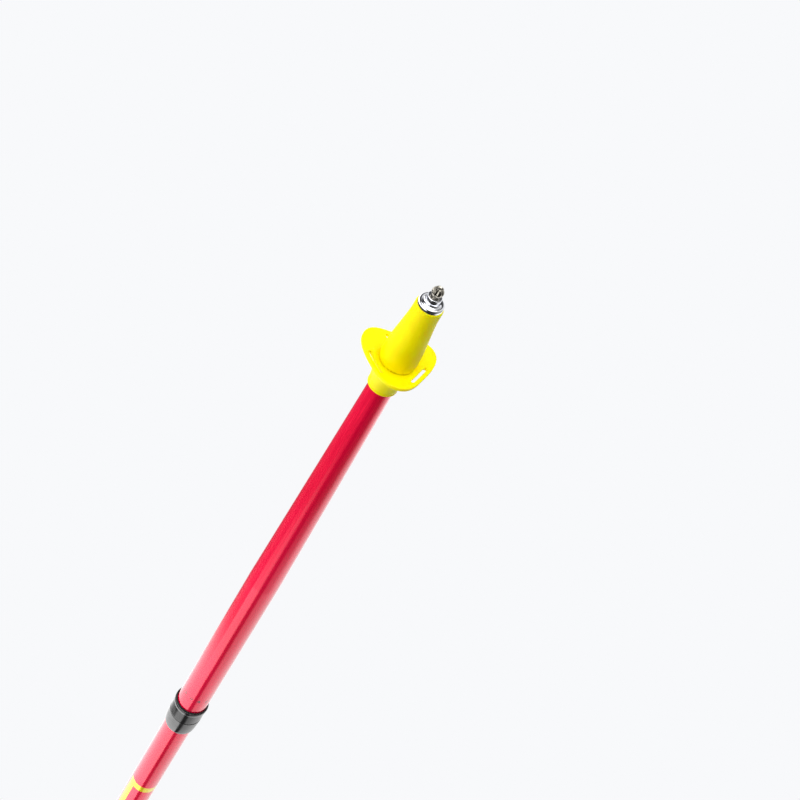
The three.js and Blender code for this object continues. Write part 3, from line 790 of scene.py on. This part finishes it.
make_lower_tube()
make_collar()
make_ring("seal_ring", "collar_seal", "lower_section", TUBE_R + FIT, 0.3, SEAL_RUBBER_PAINTED_SHADE)
make_ring("upper_tube_painted", "upper_tube", "upper_section", UPPER_R - UPPER_WALL, 0.25, RED_PRINTED)


# ---- twist lock
THREAD_PITCH = 1.75
THREAD_DEPTH = 0.42
# tapered bore of the expander, which the wedge cone fits
MOUTH_R = 4.9
THROAT_R = 3.3
BORE_TAPER_LENGTH = 18


def make_plug():
    """Plastic plug: a flange under the tube's end, and two glue grooves inside the tube."""
    foot, top, _ = span("spindle_plug")
    bore_r = SPINDLE_R + FIT
    flange_z = UPPER_FOOT - SEAT
    fit_r = UPPER_R - UPPER_WALL - FIT
    outline = [(bore_r, foot), (UPPER_R - FIT, foot), (UPPER_R - FIT, flange_z), (fit_r, flange_z)]
    for middle in (flange_z + 5, flange_z + 11):
        outline += [(fit_r, middle - 1.2), (fit_r - 0.5, middle - 0.9)]
        outline += [(fit_r - 0.5, middle + 0.9), (fit_r, middle + 1.2)]
    outline += [(fit_r, top), (bore_r, top)]
    finished(turned("plug_moulded", filleted(outline, 0.3)), "spindle_plug", "upper_section", GREY)


def make_spindle():
    """Steel spindle with a rolled thread along its whole length below the plug."""
    foot, top, _ = span("spindle")
    plug_foot = span("spindle_plug")[0]
    rows_per_turn = 9

    def threaded(r, angle, z):
        turns = ((z - foot) / THREAD_PITCH - angle / (2 * math.pi)) % 1.0
        tooth = abs(turns * 2 - 1)
        fade = between(z, foot, plug_foot, 1.2, 1.5)
        return r - THREAD_DEPTH * tooth * fade if r > SPINDLE_R - 0.1 else r

    side = even_run((SPINDLE_R, foot + 0.5), (SPINDLE_R, plug_foot), THREAD_PITCH / rows_per_turn)
    outline = [(0, foot), (SPINDLE_R - 0.5, foot)] + side
    outline += [(SPINDLE_R, top - 0.3), (SPINDLE_R - 0.3, top), (0, top)]
    piece = turned("spindle_threaded", outline, threaded, 72)
    finished(piece, "spindle", "upper_section", ZINC)


def make_expander():
    """Split sleeve: gripping ribs round the outside, a tapered bore and one slit."""
    foot, top, outer_r = span("expander_sleeve")
    slit_width = 1.6
    rib_pitch = 1.3
    rib_depth = 0.3
    plain_end = 2.0

    def ribbed(r, angle, z):
        fade = between(z, foot + plain_end, top - plain_end, 1, 1)
        dip = 0.5 - 0.5 * math.cos(2 * math.pi * (z - foot) / rib_pitch)
        return r - rib_depth * dip * fade if r > outer_r - 0.05 else r

    side = even_run((outer_r, foot + 1), (outer_r, top - 1), rib_pitch / 6)
    outline = [(MOUTH_R, foot), (outer_r - 0.5, foot)] + side
    outline += [(outer_r - 0.5, top), (THROAT_R, top), (THROAT_R, foot + BORE_TAPER_LENGTH)]
    slit = 2 * math.asin(slit_width / 2 / outer_r)
    piece = turned("expander_ribbed", outline, ribbed, 120, slit)
    finished(piece, "expander_sleeve", "expander", BLACK_FLAT)


def make_wedge():
    """Wedge cone: a plain taper with a knurled collar at its foot."""
    foot, top, foot_r = span("expander_cone")
    bore_r = SPINDLE_R + FIT
    sleeve_foot = span("expander_sleeve")[0]
    slope = (MOUTH_R - THROAT_R) / BORE_TAPER_LENGTH
    teeth = 24
    tooth_depth = 0.12

    def side_r(z):
        return foot_r - slope * (z - foot)

    def knurled(r, angle, z):
        low_band = z < sleeve_foot - 0.2 and r > foot_r - 0.4
        return r - tooth_depth * (0.5 - 0.5 * math.cos(teeth * angle)) if low_band else r

    outline = [(bore_r, foot), (side_r(foot), foot), (side_r(sleeve_foot - 0.3), sleeve_foot - 0.3)]
    outline += [(side_r(top), top), (bore_r, top)]
    piece = turned("wedge_cone_moulded", filleted(outline, 0.25), knurled)
    finished(piece, "expander_cone", "wedge_cone", GREY)


def make_nut():
    """Hexagon nut with the corners chamfered at both faces."""
    foot, top, corner_r = span("stop_nut")
    sector = math.pi / 3
    flat_distance = corner_r * math.cos(sector / 2)
    chamfer_r = flat_distance - 0.05
    chamfer_slope = 1.7

    def hexagon(r, angle, z):
        if r < flat_distance - 0.2:
            return r
        off_middle = angle % sector - sector / 2
        across = flat_distance / math.cos(off_middle)
        from_face = min(z - foot, top - z)
        return min(across, chamfer_r + from_face * chamfer_slope)

    side = even_run((corner_r, foot), (corner_r, top), 0.15)
    bore_r = SPINDLE_R + 2 * FIT
    outline = [(bore_r, foot + 0.3), (bore_r + 0.3, foot)] + side
    outline += [(bore_r + 0.3, top), (bore_r, top - 0.3)]
    piece = turned("nut_hexagon", outline, hexagon)
    finished(piece, "stop_nut", "upper_section", ZINC)


make_plug()
make_spindle()
for washer, washer_node in (("washer_thrust", "thrust_washer"), ("washer_stop", "stop_washer")):
    make_ring(washer, washer_node, "upper_section", SPINDLE_R + FIT, 0.2, ZINC)
make_expander()
make_wedge()
make_nut()


# ---- grip
PIN_LOW, PIN_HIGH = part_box("strap_pin")
PIN_Y = (PIN_LOW[1] + PIN_HIGH[1]) / 2 / MM
PIN_Z = (PIN_LOW[2] + PIN_HIGH[2]) / 2 / MM
PIN_R = (PIN_HIGH[2] - PIN_LOW[2]) / 2 / MM
PIN_HALF_LENGTH = PIN_HIGH[0] / MM
STRAP_LOW, STRAP_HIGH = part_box("strap_webbing")
STRAP_HALF_WIDTH = STRAP_HIGH[0] / MM
STRAP_THICKNESS = 1.5
STRAP_CORE_R = PIN_R + 0.1 + STRAP_THICKNESS / 2
HEAD_FOOT = SLEEVE_TOP + SEAT
# how far the strap's recess reaches from the pin's middle
RECESS_AHEAD = 4.4
RECESS_BELOW = 13.5
RECESS_ABOVE = 12


def lying_on_x(piece, y, z):
    """Turns a piece made round Z so that it lies along X through (y, z)."""
    piece.data.transform(Matrix.Translation((0, y * MM, z * MM)) @ Matrix.Rotation(math.pi / 2, 4, "Y"))


def make_core():
    """Head and liner in one: round head, a recess behind for the strap, and a hole for its pin."""
    bore_r = UPPER_R + FIT
    boss_hole_r = BOSS_R + FIT
    boss_foot = HEAD_TOP - 6
    low_edge_r = 2.4
    top_edge_r = 8
    outline = [(0, UPPER_TOP + SEAT), (bore_r, UPPER_TOP + SEAT), (bore_r, CORE_FOOT)]
    outline += [(LINER_R, CORE_FOOT), (LINER_R, HEAD_FOOT)]
    outline += arc_run(HEAD_R - low_edge_r, HEAD_FOOT + low_edge_r, low_edge_r, -90, 0, 10)
    outline += arc_run(HEAD_R - top_edge_r, HEAD_TOP - top_edge_r, top_edge_r, 0, 76, 16)
    outline += [(boss_hole_r, HEAD_TOP), (boss_hole_r, boss_foot), (0, boss_foot)]
    piece = turned("grip_head", outline)
    beyond = HEAD_R + 1
    recess_half_width = STRAP_HALF_WIDTH + 0.6
    recess_low = (-recess_half_width, PIN_Y - RECESS_AHEAD, PIN_Z - RECESS_BELOW)
    recess_high = (recess_half_width, beyond, PIN_Z + RECESS_ABOVE)
    combine(piece, block("recess", recess_low, recess_high), "DIFFERENCE")
    hole_r = PIN_R + FIT
    hole = turned("hole", [(0, -beyond), (hole_r, -beyond), (hole_r, beyond), (0, beyond)], None, 48)
    lying_on_x(hole, PIN_Y, PIN_Z)
    combine(piece, hole, "DIFFERENCE")
    softened(piece, 0.42, 8)
    finished(piece, "grip_core", "upper_section", BLACK_FLAT)


RIDGES = 4
RIDGE_HEIGHT = 1.1
RIB_PITCH = 2.6
RIB_DEPTH = 0.35


def make_sleeve():
    """Soft grip: a rim below, finger ridges across the front and fine ribs across the back."""
    length = SLEEVE_TOP - SLEEVE_FOOT
    bore_r = LINER_R + FIT
    side = smooth_run([
        (15.4, SLEEVE_FOOT), (17, SLEEVE_FOOT + 2.4), (16.4, SLEEVE_FOOT + 5.2), (13.9, SLEEVE_FOOT + 9),
        (13.3, SLEEVE_FOOT + length * 0.35), (13.9, SLEEVE_FOOT + length * 0.65),
        (15.2, SLEEVE_TOP - 3), (15.4, SLEEVE_TOP - 0.6),
    ], 34)
    rib_low = SLEEVE_FOOT + 13
    rib_high = SLEEVE_TOP - 9

    def shaped(r, angle, z):
        if r < bore_r + 1:
            return r
        front = max(0.0, -math.sin(angle)) ** 2
        along = min(1.0, max(0.0, (z - SLEEVE_FOOT - 8) / (length - 12)))
        ridge = RIDGE_HEIGHT * front * math.sin(2 * math.pi * RIDGES * along)
        back = smooth_step(math.sin(angle), 0.05, 0.45)
        band = between(z, rib_low, rib_high, 2, 2)
        groove = max(0.0, math.cos(2 * math.pi * z / RIB_PITCH)) ** 3
        return r + ridge - RIB_DEPTH * back * band * groove

    outline = [(bore_r, SLEEVE_FOOT + 0.4), (bore_r + 0.4, SLEEVE_FOOT), (15.0, SLEEVE_FOOT)]
    outline += side + [(14.9, SLEEVE_TOP), (bore_r, SLEEVE_TOP)]
    piece = turned("grip_soft", outline, shaped, 216)
    finished(piece, "grip_sleeve", "upper_section", RUBBER)


def make_cap():
    """Domed cap with a shallow ring groove round its flat top."""
    boss_foot = CAP_FOOT
    rim_foot = HEAD_TOP + SEAT
    flat_r = 6.0
    edge = bend_run((CAP_R, rim_foot + 1.5), (CAP_R, CAP_TOP), (flat_r, CAP_TOP), 22)
    groove_r = 5.0
    groove = [(groove_r + 0.5, CAP_TOP), (groove_r + 0.25, CAP_TOP - 0.3)]
    groove += [(groove_r - 0.25, CAP_TOP - 0.3), (groove_r - 0.5, CAP_TOP)]
    outline = [(0, boss_foot), (BOSS_R - 0.4, boss_foot), (BOSS_R, boss_foot + 0.4), (BOSS_R, rim_foot)]
    outline += [(CAP_R - 0.3, rim_foot), (CAP_R, rim_foot + 0.3)] + edge
    outline += groove + [(0, CAP_TOP - 0.05)]
    piece = turned("cap_moulded", outline)
    finished(piece, "grip_cap", "upper_section", YELLOW)


def make_pin():
    """Pin with chamfered, slightly domed ends."""
    half = PIN_HALF_LENGTH
    outline = [(0, -half), (PIN_R - 0.6, -half + 0.08), (PIN_R - 0.3, -half + 0.15), (PIN_R, -half + 0.5)]
    outline += [(r, -z) for r, z in reversed(outline)]
    piece = turned("pin_turned", outline, None, 64)
    lying_on_x(piece, PIN_Y, PIN_Z)
    finished(piece, "strap_pin", "upper_section", ZINC)


make_core()
make_sleeve()
make_cap()
make_pin()


# ---- wrist strap
# The band lies in the YZ plane: round the pin, out over the head's edge, then straight down
# as two legs side by side, and open below into the loop for the hand.
LEAVE_ANGLE = math.radians(42)
LEAVE_LENGTH = 17
BEND_R = 8
LEGS_Y = PIN_Y + LEAVE_LENGTH * math.sin(LEAVE_ANGLE) + BEND_R * (1 - math.cos(LEAVE_ANGLE))
LEGS_TOP_Z = PIN_Z - LEAVE_LENGTH * math.cos(LEAVE_ANGLE) - BEND_R * math.sin(LEAVE_ANGLE)
LEGS_FOOT_Z = LEGS_TOP_Z - 63.01
LOOP_HALF_WIDTH = 24
LOOP_MID_Y = STRAP_HIGH[1] / MM - STRAP_THICKNESS / 2 - LOOP_HALF_WIDTH
LOOP_FOOT_Z = STRAP_LOW[2] / MM + STRAP_THICKNESS / 2
LOOP_MID_Z = LOOP_FOOT_Z + 32


def curve_point(corners, t):
    """A point on the cubic curve with these four control points."""
    a, b, c, d = corners
    return a * (1 - t) ** 3 + b * 3 * t * (1 - t) ** 2 + c * 3 * t * t * (1 - t) + d * t ** 3


def strap_line():
    """The band's middle line in (y, z): over the pin, down the outer leg, round the loop and up."""
    r = STRAP_CORE_R
    leave = math.degrees(LEAVE_ANGLE)
    bend_y = LEGS_Y - BEND_R
    outer_y, inner_y = LEGS_Y + r, LEGS_Y - r
    right_y, left_y = LOOP_MID_Y + LOOP_HALF_WIDTH, LOOP_MID_Y - LOOP_HALF_WIDTH
    upper_pull = 34
    lower_pull = (LOOP_MID_Z - LOOP_FOOT_Z) * 0.6
    side_pull = LOOP_HALF_WIDTH * 0.6
    steps = 40
    line = arc_run(PIN_Y, PIN_Z, r, leave + 180, leave, steps)
    line += arc_run(bend_y, LEGS_TOP_Z, BEND_R + r, leave, 0, steps // 2)
    # down the loop's outer side and up the inner one: each stop, and its pulls on the way in and out
    stops = [
        ((outer_y, LEGS_FOOT_Z), (0, -upper_pull)),
        ((right_y, LOOP_MID_Z), (0, -upper_pull), (0, -lower_pull)),
        ((LOOP_MID_Y, LOOP_FOOT_Z), (-side_pull, 0), (-side_pull, 0)),
        ((left_y, LOOP_MID_Z), (0, lower_pull), (0, upper_pull)),
        ((inner_y, LEGS_FOOT_Z), (0, upper_pull)),
    ]
    for (start, *_, leaving), (end, arriving, *_) in zip(stops, stops[1:]):
        a, d = Vector(start), Vector(end)
        corners = (a, a + Vector(leaving), d - Vector(arriving), d)
        line += [curve_point(corners, k / steps) for k in range(steps + 1)]
    line += arc_run(bend_y, LEGS_TOP_Z, BEND_R - r, 0, leave, steps // 2)
    return [Vector(point) for point in line]


def evenly_spaced(line, gap, closed):
    """Points along the line the same distance apart, no further than gap."""
    path = line + [line[0]] if closed else line
    lengths = [0.0]
    for i in range(1, len(path)):
        lengths.append(lengths[-1] + (path[i] - path[i - 1]).length)
    count = math.ceil(lengths[-1] / gap)
    points = []
    at = 0
    for k in range(count if closed else count + 1):
        wanted = min(lengths[-1], lengths[-1] * k / count)
        while at < len(lengths) - 2 and lengths[at + 1] < wanted:
            at += 1
        reach = lengths[at + 1] - lengths[at]
        share = (wanted - lengths[at]) / reach if reach > TINY else 0.0
        points.append(path[at].lerp(path[at + 1], share))
    return points, lengths[-1]


def band_section(half_width, half_thickness):
    """(across, out) points round a woven band's section: rolled edges and a slightly full middle."""
    edge = half_thickness * 0.9
    columns = 14
    section = []
    for side in (1, -1):
        for k in range(columns + 1):
            across = side * (half_width - edge) * (1 - 2 * k / columns)
            selvedge = 0.06 * smooth_step(abs(across), half_width - 2.6, half_width - 1.8)
            section.append((across, side * (half_thickness - 0.08 + selvedge)))
        turn_steps = 5
        for k in range(1, turn_steps):
            angle = math.pi / 2 + math.pi * k / turn_steps
            across = edge * math.cos(angle) - (half_width - edge)
            section.append((side * across, side * edge * math.sin(angle)))
    return section


def make_band(name, points, length, closed, half_width, half_thickness, offset=0.0):
    """A woven band along a line in the YZ plane, with its own along and across places stored."""
    section = band_section(half_width, half_thickness)
    count = len(points)
    mesh_bm = bmesh.new()
    store = mesh_bm.verts.layers.float_vector.new("band")
    rings = []
    for i, point in enumerate(points):
        before = points[i - 1] if closed or i > 0 else point
        after = points[(i + 1) % count] if closed or i < count - 1 else point
        along = (after - before).normalized()
        out = Vector((-along.y, along.x))
        ring = []
        for across, lift in section:
            at = point + out * (lift + offset)
            vert = mesh_bm.verts.new((across * MM, at.x * MM, at.y * MM))
            vert[store] = (length * i / count * MM, across * MM, lift * MM)
            ring.append(vert)
        rings.append(ring)
    join_rings(mesh_bm, rings, closed)
    return finish_mesh(name, mesh_bm)


def make_strap():
    """The closed band of the strap. Gives back the points of its middle line."""
    points, length = evenly_spaced(strap_line(), 0.9, True)
    piece = make_band("strap_band", points, length, True, STRAP_HALF_WIDTH, STRAP_THICKNESS / 2)
    finished(piece, "strap_webbing", "strap", WEBBING)
    return points


STRAP_POINTS = make_strap()


# the band's two ends are sewn over one another on the inside of the loop
OVERLAP_LENGTH = 30
OVERLAP_MIDDLE_Z = LOOP_MID_Z + 4
OVERLAP_THICKNESS = 1.1
OVERLAP_SUNK = 0.12  # how deep its face lies in the band's
STITCH_LENGTH = 2.0
STITCH_PITCH = 2.7
STITCH_R = 0.19
STITCH_EDGE = 2.6  # from the band's edge to the stitches
STITCHED_FROM = 0.08  # shares of the overlap's length between which it is stitched
STITCHED_TO = 0.92


def overlap_run(points):
    """The stretch of the loop's outer side that carries the overlap, in order."""
    run = []
    for point in points:
        on_outer_side = point.x > LOOP_MID_Y + LOOP_HALF_WIDTH / 2
        if on_outer_side and abs(point.y - OVERLAP_MIDDLE_Z) < OVERLAP_LENGTH / 2:
            run.append(point)
    return evenly_spaced(run, 0.9, False)


def inward(points, i):
    """The unit normal towards the inside of the loop at a point of an open run."""
    along = (points[min(i + 1, len(points) - 1)] - points[max(i - 1, 0)]).normalized()
    return Vector((along.y, -along.x))


def add_stitch(mesh_bm, store, start, end, lift_from):
    """One stitch: a short thread that rises out of the band and dives back in."""
    steps, sides = 8, 8
    along = (end - start).normalized()
    side = along.cross(lift_from).normalized()
    rings = []
    for k in range(steps + 1):
        t = k / steps
        rise = math.sin(math.pi * t)
        middle = start.lerp(end, t) + lift_from * (rise * STITCH_R * 0.9 - STITCH_R * 0.5)
        thick = STITCH_R * (0.55 + 0.45 * rise)
        ring = []
        for j in range(sides):
            angle = 2 * math.pi * j / sides
            at = middle + side * math.cos(angle) * thick + lift_from * math.sin(angle) * thick
            vert = mesh_bm.verts.new(at * MM)
            vert[store] = (t * STITCH_LENGTH * MM, math.cos(angle) * thick * MM, 0)
            ring.append(vert)
        rings.append(ring)
    join_rings(mesh_bm, rings, closed=False)


def make_overlap():
    """The band's doubled stretch, and the stitches across it."""
    points, length = overlap_run(STRAP_POINTS)
    inset = -(STRAP_THICKNESS + OVERLAP_THICKNESS) / 2 + OVERLAP_SUNK
    half_width = STRAP_HALF_WIDTH - 0.4
    piece = make_band("strap_overlap", points, length, False, half_width, OVERLAP_THICKNESS / 2, inset)
    finished(piece, None, "strap", WEBBING)

    surface = abs(inset) + OVERLAP_THICKNESS / 2 - 0.05
    half_x = STRAP_HALF_WIDTH - STITCH_EDGE

    def on_face(across, share):
        """(place, normal) on the overlap's face: across from the middle, and a share of its length."""
        i = round(share * (len(points) - 1))
        normal = inward(points, i)
        at = points[i] + normal * surface
        return Vector((across, at.x, at.y)), Vector((0, normal.x, normal.y))

    # a box of stitches with a cross in it
    low, high = STITCHED_FROM, STITCHED_TO
    corners = [(-half_x, low), (half_x, low), (half_x, high), (-half_x, high)]
    lines = [(corners[k], corners[(k + 1) % 4]) for k in range(4)]
    lines += [(corners[0], corners[2]), (corners[1], corners[3])]
    mesh_bm = bmesh.new()
    store = mesh_bm.verts.layers.float_vector.new("band")
    for (x0, s0), (x1, s1) in lines:
        run = math.hypot(x1 - x0, (s1 - s0) * length)
        count = int(run / STITCH_PITCH)
        gap_share = 1 - STITCH_LENGTH / STITCH_PITCH
        for k in range(count):
            t0 = (k + gap_share / 2) / count
            t1 = t0 + (1 - gap_share) / count
            start, normal = on_face(x0 + (x1 - x0) * t0, s0 + (s1 - s0) * t0)
            end, _ = on_face(x0 + (x1 - x0) * t1, s0 + (s1 - s0) * t1)
            add_stitch(mesh_bm, store, start, end, normal)
    finished(finish_mesh("strap_stitches", mesh_bm), None, "strap", THREAD)


def make_keeper():
    """Flat ring round both legs: a rounded rectangle with softened edges and a waist."""
    low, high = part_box("strap_keeper")
    foot, top = low[2] / MM, high[2] / MM
    half_x, half_y = high[0] / MM, (high[1] - low[1]) / 2 / MM
    middle_y = (high[1] + low[1]) / 2 / MM
    wall = 1.8
    inner_corner_r = 0.6
    inner_x, inner_y = half_x - wall, half_y - wall
    section = filleted([(0, foot), (wall, foot), (wall, top), (0, top)], 0.55, 6)
    corner_steps, side_steps = 10, 8
    x, y = inner_x - inner_corner_r, inner_y - inner_corner_r
    centres = [Vector(place) for place in ((x, y), (-x, y), (-x, -y), (x, -y))]
    directions = []
    for i, centre in enumerate(centres):
        for k in range(corner_steps + 1):
            angle = (i + k / corner_steps) * math.pi / 2
            directions.append((centre, direction(angle)))
        next_centre = centres[(i + 1) % len(centres)]
        straight = directions[-1][1]
        for k in range(1, side_steps):
            directions.append((centre.lerp(next_centre, k / side_steps), straight))
    mesh_bm = bmesh.new()
    grid = []
    for distance, z in section:
        share = (z - foot) / (top - foot)
        waist = 0.25 * math.sin(math.pi * share) ** 2 if distance > wall / 2 else 0.0
        ring = []
        for centre, outward in directions:
            at = centre + outward * (inner_corner_r + distance - waist)
            ring.append(mesh_bm.verts.new((at.x * MM, (at.y + middle_y) * MM, z * MM)))
        grid.append(ring)
    join_rings(mesh_bm, grid)
    finished(finish_mesh("keeper_moulded", mesh_bm), "strap_keeper", "keeper", BLACK_FLAT)


make_overlap()
make_keeper()


# ---- floor and light
PALE = colour(0.939, 0.947, 0.965)
FLOOR_COLOUR = colour(0.80, 0.81, 0.826)
FLOOR_Z = -2.6
FLOOR_R = 7.0


def make_floor():
    """A wide plain floor, far enough down for the camera to look up from under the tip."""
    mesh_bm = bmesh.new()
    bmesh.ops.create_circle(mesh_bm, cap_ends=True, segments=128, radius=FLOOR_R)
    floor = finish_mesh("floor", mesh_bm)
    floor.location.z = FLOOR_Z
    # under this light, a darker floor comes out as pale as the backdrop
    finish = Finish("floor_pale", {"Base Color": FLOOR_COLOUR, "Roughness": 0.9, "Specular IOR Level": 0.1})
    floor.data.materials.append(finish.material)
    floor.visible_diffuse = False  # the light from below is the softbox's, not the floor's
    floor.visible_glossy = False
    floor.visible_shadow = False


class Sky(Nodes):
    """World nodes that give light by direction: azimuth from -Y towards +X, and height."""

    def __init__(self):
        world = bpy.data.worlds.new("studio")
        bpy.context.scene.world = world
        world.use_nodes = True
        super().__init__(world.node_tree)
        self.nodes.clear()
        towards = self.parts(self.node("TexCoord").outputs["Generated"])
        self.height = towards["Z"]
        self.azimuth = self.math("ARCTAN2", towards["X"], self.times(towards["Y"], -1.0))

    def curve(self, source, stops):
        """A smooth curve through (input, output) stops, level before the first and after the last."""
        (x0, y0), (x1, y1) = stops[:2]
        total = self.ramp(source, x0, x1, y0, y1)
        for (x0, y0), (x1, y1) in zip(stops[1:], stops[2:]):
            total = self.math("ADD", total, self.ramp(source, x0, x1, 0.0, y1 - y0))
        return total

    def finish(self, light):
        """Lights the scene, and shows the camera a plain pale backdrop."""
        seen = self.node("LightPath").outputs["Is Camera Ray"]
        lit = self.node("Background", {"Color": colour(1.0, 1.0, 1.0), "Strength": light}).outputs[0]
        plain = self.node("Background", {"Color": PALE}).outputs[0]
        chosen = self.node("MixShader", {0: seen, 1: lit, 2: plain}).outputs[0]
        self.node("OutputWorld", {"Surface": chosen})


def make_sky():
    """Rings of light, each taking over from the one below as the height rises past its two marks.
    A softbox below, a dark ring with a lit right, the big light on the left with a dark front
    right, a dark gap that closes in two steps, and the overhead softbox."""
    rings = (
        (-0.90, -0.80, ((-180, 0.1), (-150, 0.9), (-90, 0.4), (-40, 0.08), (0, 0.3), (40, 1.1),
                        (80, 0.05), (180, 0.1))),
        (-0.45, -0.30, ((-180, 0.8), (-150, 1.0), (-110, 0.45), (-62, 0.05), (-10, 0.03), (18, 1.9),
                        (100, 2.5), (180, 0.8))),
        (0.50, 0.56, ((-180, 0.9), (-140, 1.6), (-105, 1.3), (-62, 0.05), (-12, 0.03), (20, 0.07),
                      (140, 0.1), (180, 0.9))),
        (0.685, 0.720, ((-140, 1.2), (-95, 1.4), (-60, 0.2), (-28, 0.05), (-6, 0.05), (2, 0.7),
                        (16, 0.7), (26, 0.07), (140, 0.1), (170, 0.9))),
        (0.705, 0.772, ((-140, 1.2), (-95, 1.4), (-45, 1.1), (-28, 0.1), (-12, 0.1), (-2, 1.8),
                        (40, 1.8), (54, 0.07), (140, 0.1), (170, 0.9))),
        (0.768, 0.792, ((-140, 1.2), (-95, 1.5), (-45, 1.3), (-28, 0.1), (-12, 0.1), (-2, 2.6),
                        (60, 2.5), (150, 1.8))),
    )
    sky = Sky()
    light = 3.2
    for low, high, stops in rings:
        share = sky.ramp(sky.height, low, high)
        ring = sky.curve(sky.azimuth, [(math.radians(degrees), level) for degrees, level in stops])
        light = sky.math("ADD", light, sky.times(share, sky.math("SUBTRACT", ring, light)))
    sky.finish(light)


make_floor()
make_sky()
bpy.context.scene.view_settings.view_transform = "Standard"
bpy.context.scene.view_settings.look = "None"
